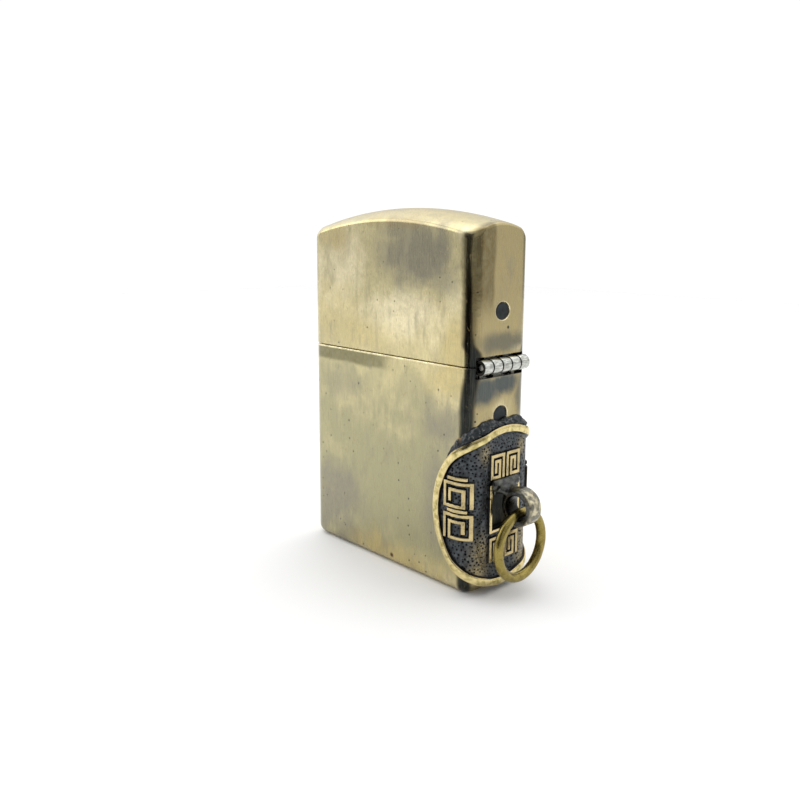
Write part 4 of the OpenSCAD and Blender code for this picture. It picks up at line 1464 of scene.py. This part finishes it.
def make_flint_column():
    """The tube, the flint, the tip that pushes it, and the slotted screw."""
    x = WHEEL.x
    tube = tube_profile(TUBE_BORE_R, TUBE_R, tube_low.z, tube_high.z, 0.15 * MM)
    column_part("feed_tube", tube, 48, "case", "inner_brass", "flint_tube")

    low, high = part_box("flint")
    r = high.x - x
    bar = [(0, low.z), (r, low.z), (r, high.z - 0.15 * MM), (r - 0.15 * MM, high.z)]
    bar += [(r * 0.5, high.z - 0.05 * MM), (0, high.z - 0.06 * MM)]
    column_part("flint_bar", bar, 32, "flint", "flint_metal", "flint")

    low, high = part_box("spring_plunger")
    r = high.x - x
    tip = [(0, low.z), (0.6 * MM, low.z), (0.7 * MM, low.z + 0.5 * MM), (r, low.z + 0.6 * MM)]
    tip += [(r, high.z - 0.2 * MM), (r - 0.2 * MM, high.z), (0, high.z)]
    column_part("feed_tip", tip, 40, "flint", "inner_brass", "spring_plunger")

    low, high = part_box("flint_screw")
    head_r, head_top, thread_r = high.x - x, low.z + 1.05 * MM, TUBE_BORE_R - FIT
    screw = [(0, low.z), (head_r - 0.3 * MM, low.z), (head_r, low.z + 0.25 * MM)]
    screw += [(head_r, head_top), (thread_r, head_top)]
    z = head_top + 0.6 * MM
    while z < high.z - 0.5 * MM:
        screw += [(thread_r, z), (thread_r - 0.18 * MM, z + 0.2 * MM)]
        z += 0.4 * MM
    screw += [(thread_r - 0.2 * MM, high.z), (0, high.z)]
    reach, half_slot = 2 * head_r, 0.4 * MM
    slot = block((x - reach, -half_slot, low.z - 1 * MM), (x + reach, half_slot, low.z + 0.5 * MM))
    column_part("tube_screw", screw, 48, "screw", "inner_brass", "flint_screw", slot)


def make_flint_spring(turns=16, steps=32, sides=10):
    """The coil under the tip, closer wound at its ends."""
    low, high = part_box("flint_spring")
    x, wire = WHEEL.x, 0.2 * MM
    coil = high.x - x - wire
    rows = []
    for i in range(turns * steps + 1):
        t = i / (turns * steps)
        a = 2 * math.pi * turns * t
        z = low.z + wire + (high.z - low.z - 2 * wire) * (t - 0.012 * math.sin(2 * math.pi * t))
        row = []
        for b in circle_steps(sides):
            r = coil + wire * math.cos(b)
            row.append((x + r * math.cos(a), r * math.sin(a), z + wire * math.sin(b)))
        rows.append(row)
    spring = clean(new_object("feed_spring", *capped(rows)), sharp=80)
    place_piece(spring, "case", "spring_steel", "flint_spring")
    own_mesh(spring)


# ---------- wick, cotton and felt ----------


def make_wick(around=40, step=0.14 * MM):
    """A braided cord, singed and a little spread at its top."""
    low, high = wick_low.z, wick_high.z
    rows, z = [], low
    while z <= high:
        row = []
        lift = z / MM * 2.6
        for a in circle_steps(around):
            braid = max(abs(math.sin(2 * a + lift)), abs(math.sin(2 * a - lift)))
            r = WICK_R * (0.84 + 0.13 * braid)
            r *= 1 - 0.03 * abs(noise.noise(Vector((a * 3, z / MM * 2, 3.0))))
            sunk = abs(noise.noise(Vector((math.cos(a) * 2, math.sin(a) * 2, 9.0))))
            sunk *= 0.5 * MM if z > high - step else 0
            row.append((r * math.cos(a), r * math.sin(a), z - sunk))
        rows.append(row)
        z += step
    wick = clean(new_object("braided_wick", *capped(rows)), sharp=70)
    place_piece(wick, "case", "wick_cotton", "wick")


def pillow(name, low, high, middle, half_w, half_d, r, puff, lumpy, seed):
    """A soft pad between two heights, with bulging sides and a lumpy surface inside its box."""
    edge = [(puff * (1 - math.sin(math.pi / 2 * (1 - k / 6))), k / 6) for k in range(7)]
    insets = [(puff * 1.6, 0.02), (puff * 2.5, 0.0)]
    insets += [((puff * 2.5 + half_d) / 2, 0.0), (half_d - 0.01 * MM, 0.0)]
    thick = high - low
    up = [(inset, high - thick * 0.5 * (1 - math.sin(math.pi / 2 * t))) for inset, t in edge]
    up += [(inset, high - drop * thick) for inset, drop in insets]
    down = [(inset, low + high - z) for inset, z in up]
    pad = clean(new_object(name, *looped(half_w, half_d, r, down[::-1] + up, middle)))
    melt(pad, 0.32 * MM, 4)
    centre = Vector((middle, 0, (low + high) / 2))
    for vertex in pad.data.vertices:
        folds = 0.5 + 0.5 * noise.noise(vertex.co * 260 + Vector((seed, 0, 0)))
        tufts = noise.fractal(vertex.co * 1100 + Vector((0, seed, 0)), 1.0, 2.0, 3)
        inwards = centre - vertex.co
        inwards.x = math.copysign(min(abs(inwards.x), thick / 2), inwards.x)
        vertex.co += inwards.normalized() * lumpy * (folds + 0.22 * abs(tufts))
    return pad


def make_cotton():
    """Four soft pads of packing round the wick."""
    low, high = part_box("cotton_packing")
    gap, count = 0.25 * MM, 4
    step = (high.z - low.z + gap) / count
    for i in range(count):
        bottom = low.z + i * step
        pad = pillow(
            f"cotton_pad_{i + 1}", bottom, bottom + step - gap, (low.x + high.x) / 2,
            (high.x - low.x) / 2, (high.y - low.y) / 2, 2 * MM, 0.9 * MM, 0.9 * MM, i * 7.0,
        )
        cut(pad, bar_z(0, WICK_R + 0.1 * MM, low.z - MM, high.z + MM))
        place_piece(clean(pad, sharp=60), "case", "packing_cotton", "cotton_packing")


def make_felt():
    """The felt that closes the insert, with a hole for the screw's head."""
    low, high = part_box("felt_pad")
    felt = pillow(
        "felt_bottom", low.z, high.z, (low.x + high.x) / 2, (high.x - low.x) / 2, (high.y - low.y) / 2,
        0.8 * MM, 0.25 * MM, 0.16 * MM, 40.0,
    )
    cut(felt, bar_z(WHEEL.x, FELT_HOLE_R, low.z - MM, high.z + MM))
    place_piece(clean(felt, sharp=60), "case", "felt", "felt_pad")


# ---------- camera, floor and light ----------


def make_camera():
    """The photograph's view: a short lens, a little above the case's middle, with a slight roll."""
    look = bpy.data.cameras.new("camera")
    camera = bpy.data.objects.new("camera", look)
    bpy.context.scene.collection.objects.link(camera)
    azimuth, elevation, roll = math.radians(45.82), math.radians(9.51), math.radians(0.49)
    camera.location = Vector((93.66, -89.42, 53.80)) * MM
    back = Vector((math.sin(azimuth), -math.cos(azimuth), math.tan(elevation))).normalized()
    turn = (-back).to_track_quat("-Z", "Y").to_matrix() @ Matrix.Rotation(roll, 3, "Z")
    camera.rotation_euler = turn.to_euler()
    look.sensor_width = 36
    look.lens = 35.5
    look.shift_x = -0.025
    look.shift_y = -0.041
    look.clip_start = 5 * MM
    look.clip_end = 10
    bpy.context.scene.camera = camera


def make_floor():
    """A wide pale floor just under the lighter."""
    size, drop = 0.6, 0.02 * MM
    corners = [(x * size, y * size, -drop) for x, y in ((-1, -1), (1, -1), (1, 1), (-1, 1))]
    floor_object = new_object("floor", corners, [(0, 1, 2, 3)])
    made, shader, place = new_material("pale_floor", Roughness=0.8)
    grain = cloud(place, 0.05, 2)
    connect(shader, Base_Color=blend(grain, (0.93, 0.93, 0.93), (0.95, 0.95, 0.95)))
    floor_object.data.materials.append(made)


def make_flag():
    """A dark card beside the camera, which only reflections show, as a photographer's own shape does."""
    camera = bpy.context.scene.camera.location
    away = Matrix.Rotation(math.radians(-25.6), 3, "Z") @ Vector((camera.x, camera.y, 0)).normalized()
    across = Vector((-away.y, away.x, 0))
    distance, half_w, top = 160 * MM, 55 * MM, 300 * MM
    middle = away * distance
    corners = [middle - across * half_w, middle + across * half_w]
    corners += [corners[1] + Vector((0, 0, top)), corners[0] + Vector((0, 0, top))]
    flag = new_object("dark_card", corners, [(0, 1, 2, 3)])
    made, shader, place = new_material("dark_card", Roughness=1.0)
    grain = cloud(place, 0.05, 2)
    connect(shader, Base_Color=blend(grain, (0.01, 0.012, 0.014), (0.016, 0.018, 0.02)))
    flag.data.materials.append(made)
    flag.visible_camera = False
    flag.visible_diffuse = False
    flag.visible_shadow = False
    flag.visible_transmission = False


def soft_light(name, place, aim, width, height, power):
    """A rectangular soft box at a place in millimetres, aimed at a point."""
    lamp = bpy.data.lights.new(name, "AREA")
    lamp.shape = "RECTANGLE"
    lamp.size, lamp.size_y = width * MM, height * MM
    lamp.energy = power
    obj = bpy.data.objects.new(name, lamp)
    bpy.context.scene.collection.objects.link(obj)
    obj.location = Vector(place) * MM
    obj.rotation_euler = ((Vector(aim) - Vector(place)) * MM).to_track_quat("-Z", "Y").to_euler()
    return obj


# bright parts of the room: direction, how wide (cosine at its edge and at its middle) and strength
WINDOWS = (
    ((-0.65, 0.70, 0.30), 0.55, 0.95, 0.35),
    ((-0.90, -0.20, 0.55), 0.60, 0.98, 0.7),
    ((0.20, 0.70, 0.75), 0.70, 0.98, 0.6),
    ((0.72, 0.70, 0.06), 0.80, 0.97, 0.6),
)


def make_world():
    """A pale room, dim at the horizon and bright overhead; the camera sees it plain white."""
    world = bpy.data.worlds.new("studio")
    world.use_nodes = True
    bpy.context.scene.world = world
    tree = world.node_tree
    background = tree.nodes["Background"]
    look = output(tree, "TexCoord", socket="Generated")
    light = spread(split(look)["Z"], 0.02, 0.75, 0.28, 0.78)
    for direction, edge, middle, strength in WINDOWS:
        way = tuple(Vector(direction).normalized())
        facing = vector_value("DOT_PRODUCT", look, way)
        light = light + spread(facing, edge, middle, 0.0, strength)
    seen = output(tree, "LightPath", socket="Is Camera Ray")
    light = most(light, seen * 1.05)
    light = least(light, (1.0 - seen) * 9.0 + 1.05)
    tree.links.new(light.socket, background.inputs["Strength"])
    background.inputs["Color"].default_value = (1, 1, 1, 1)


def make_lights():
    """Two weak soft boxes, overhead and at the left."""
    soft_light("top_box", (-60, 60, 420), (0, 0, 20), 420, 360, 0.5)
    soft_light("left_box", (-300, -200, 230), (0, 0, 30), 260, 300, 0.3)


make_camera()
make_floor()
make_flag()
make_world()
make_lights()
bpy.context.scene.view_settings.view_transform = "Standard"
make_case()
make_lid()
make_leaf("knuckles_case", "hinge_leaf_case", "case", (0, 2, 4))
make_leaf("knuckles_lid", "hinge_leaf_lid", "lid", (1, 3))
make_pin()
make_rivet("rivet_in_case", "case_rivet", "case")
make_rivet("rivet_in_lid", "lid_rivet", "lid")
make_coin()
make_solder()
make_bail()
make_ring()
make_insert()
make_chimney()
make_wheel()
make_axle("wheel_pin", "wheel_rivet", WHEEL, WHEEL_PIN_R)
make_axle("lever_pin", "cam_rivet", CAM, CAM_PIN_R)
make_cam()
make_cam_spring()
make_flint_column()
make_flint_spring()
make_wick()
make_cotton()
make_felt()

for node, obj in frame["nodes"].items():
    if not obj.hide_render:
        obj.data.materials.clear()
        obj.data.materials.append(MATERIALS[node_slots[node]])
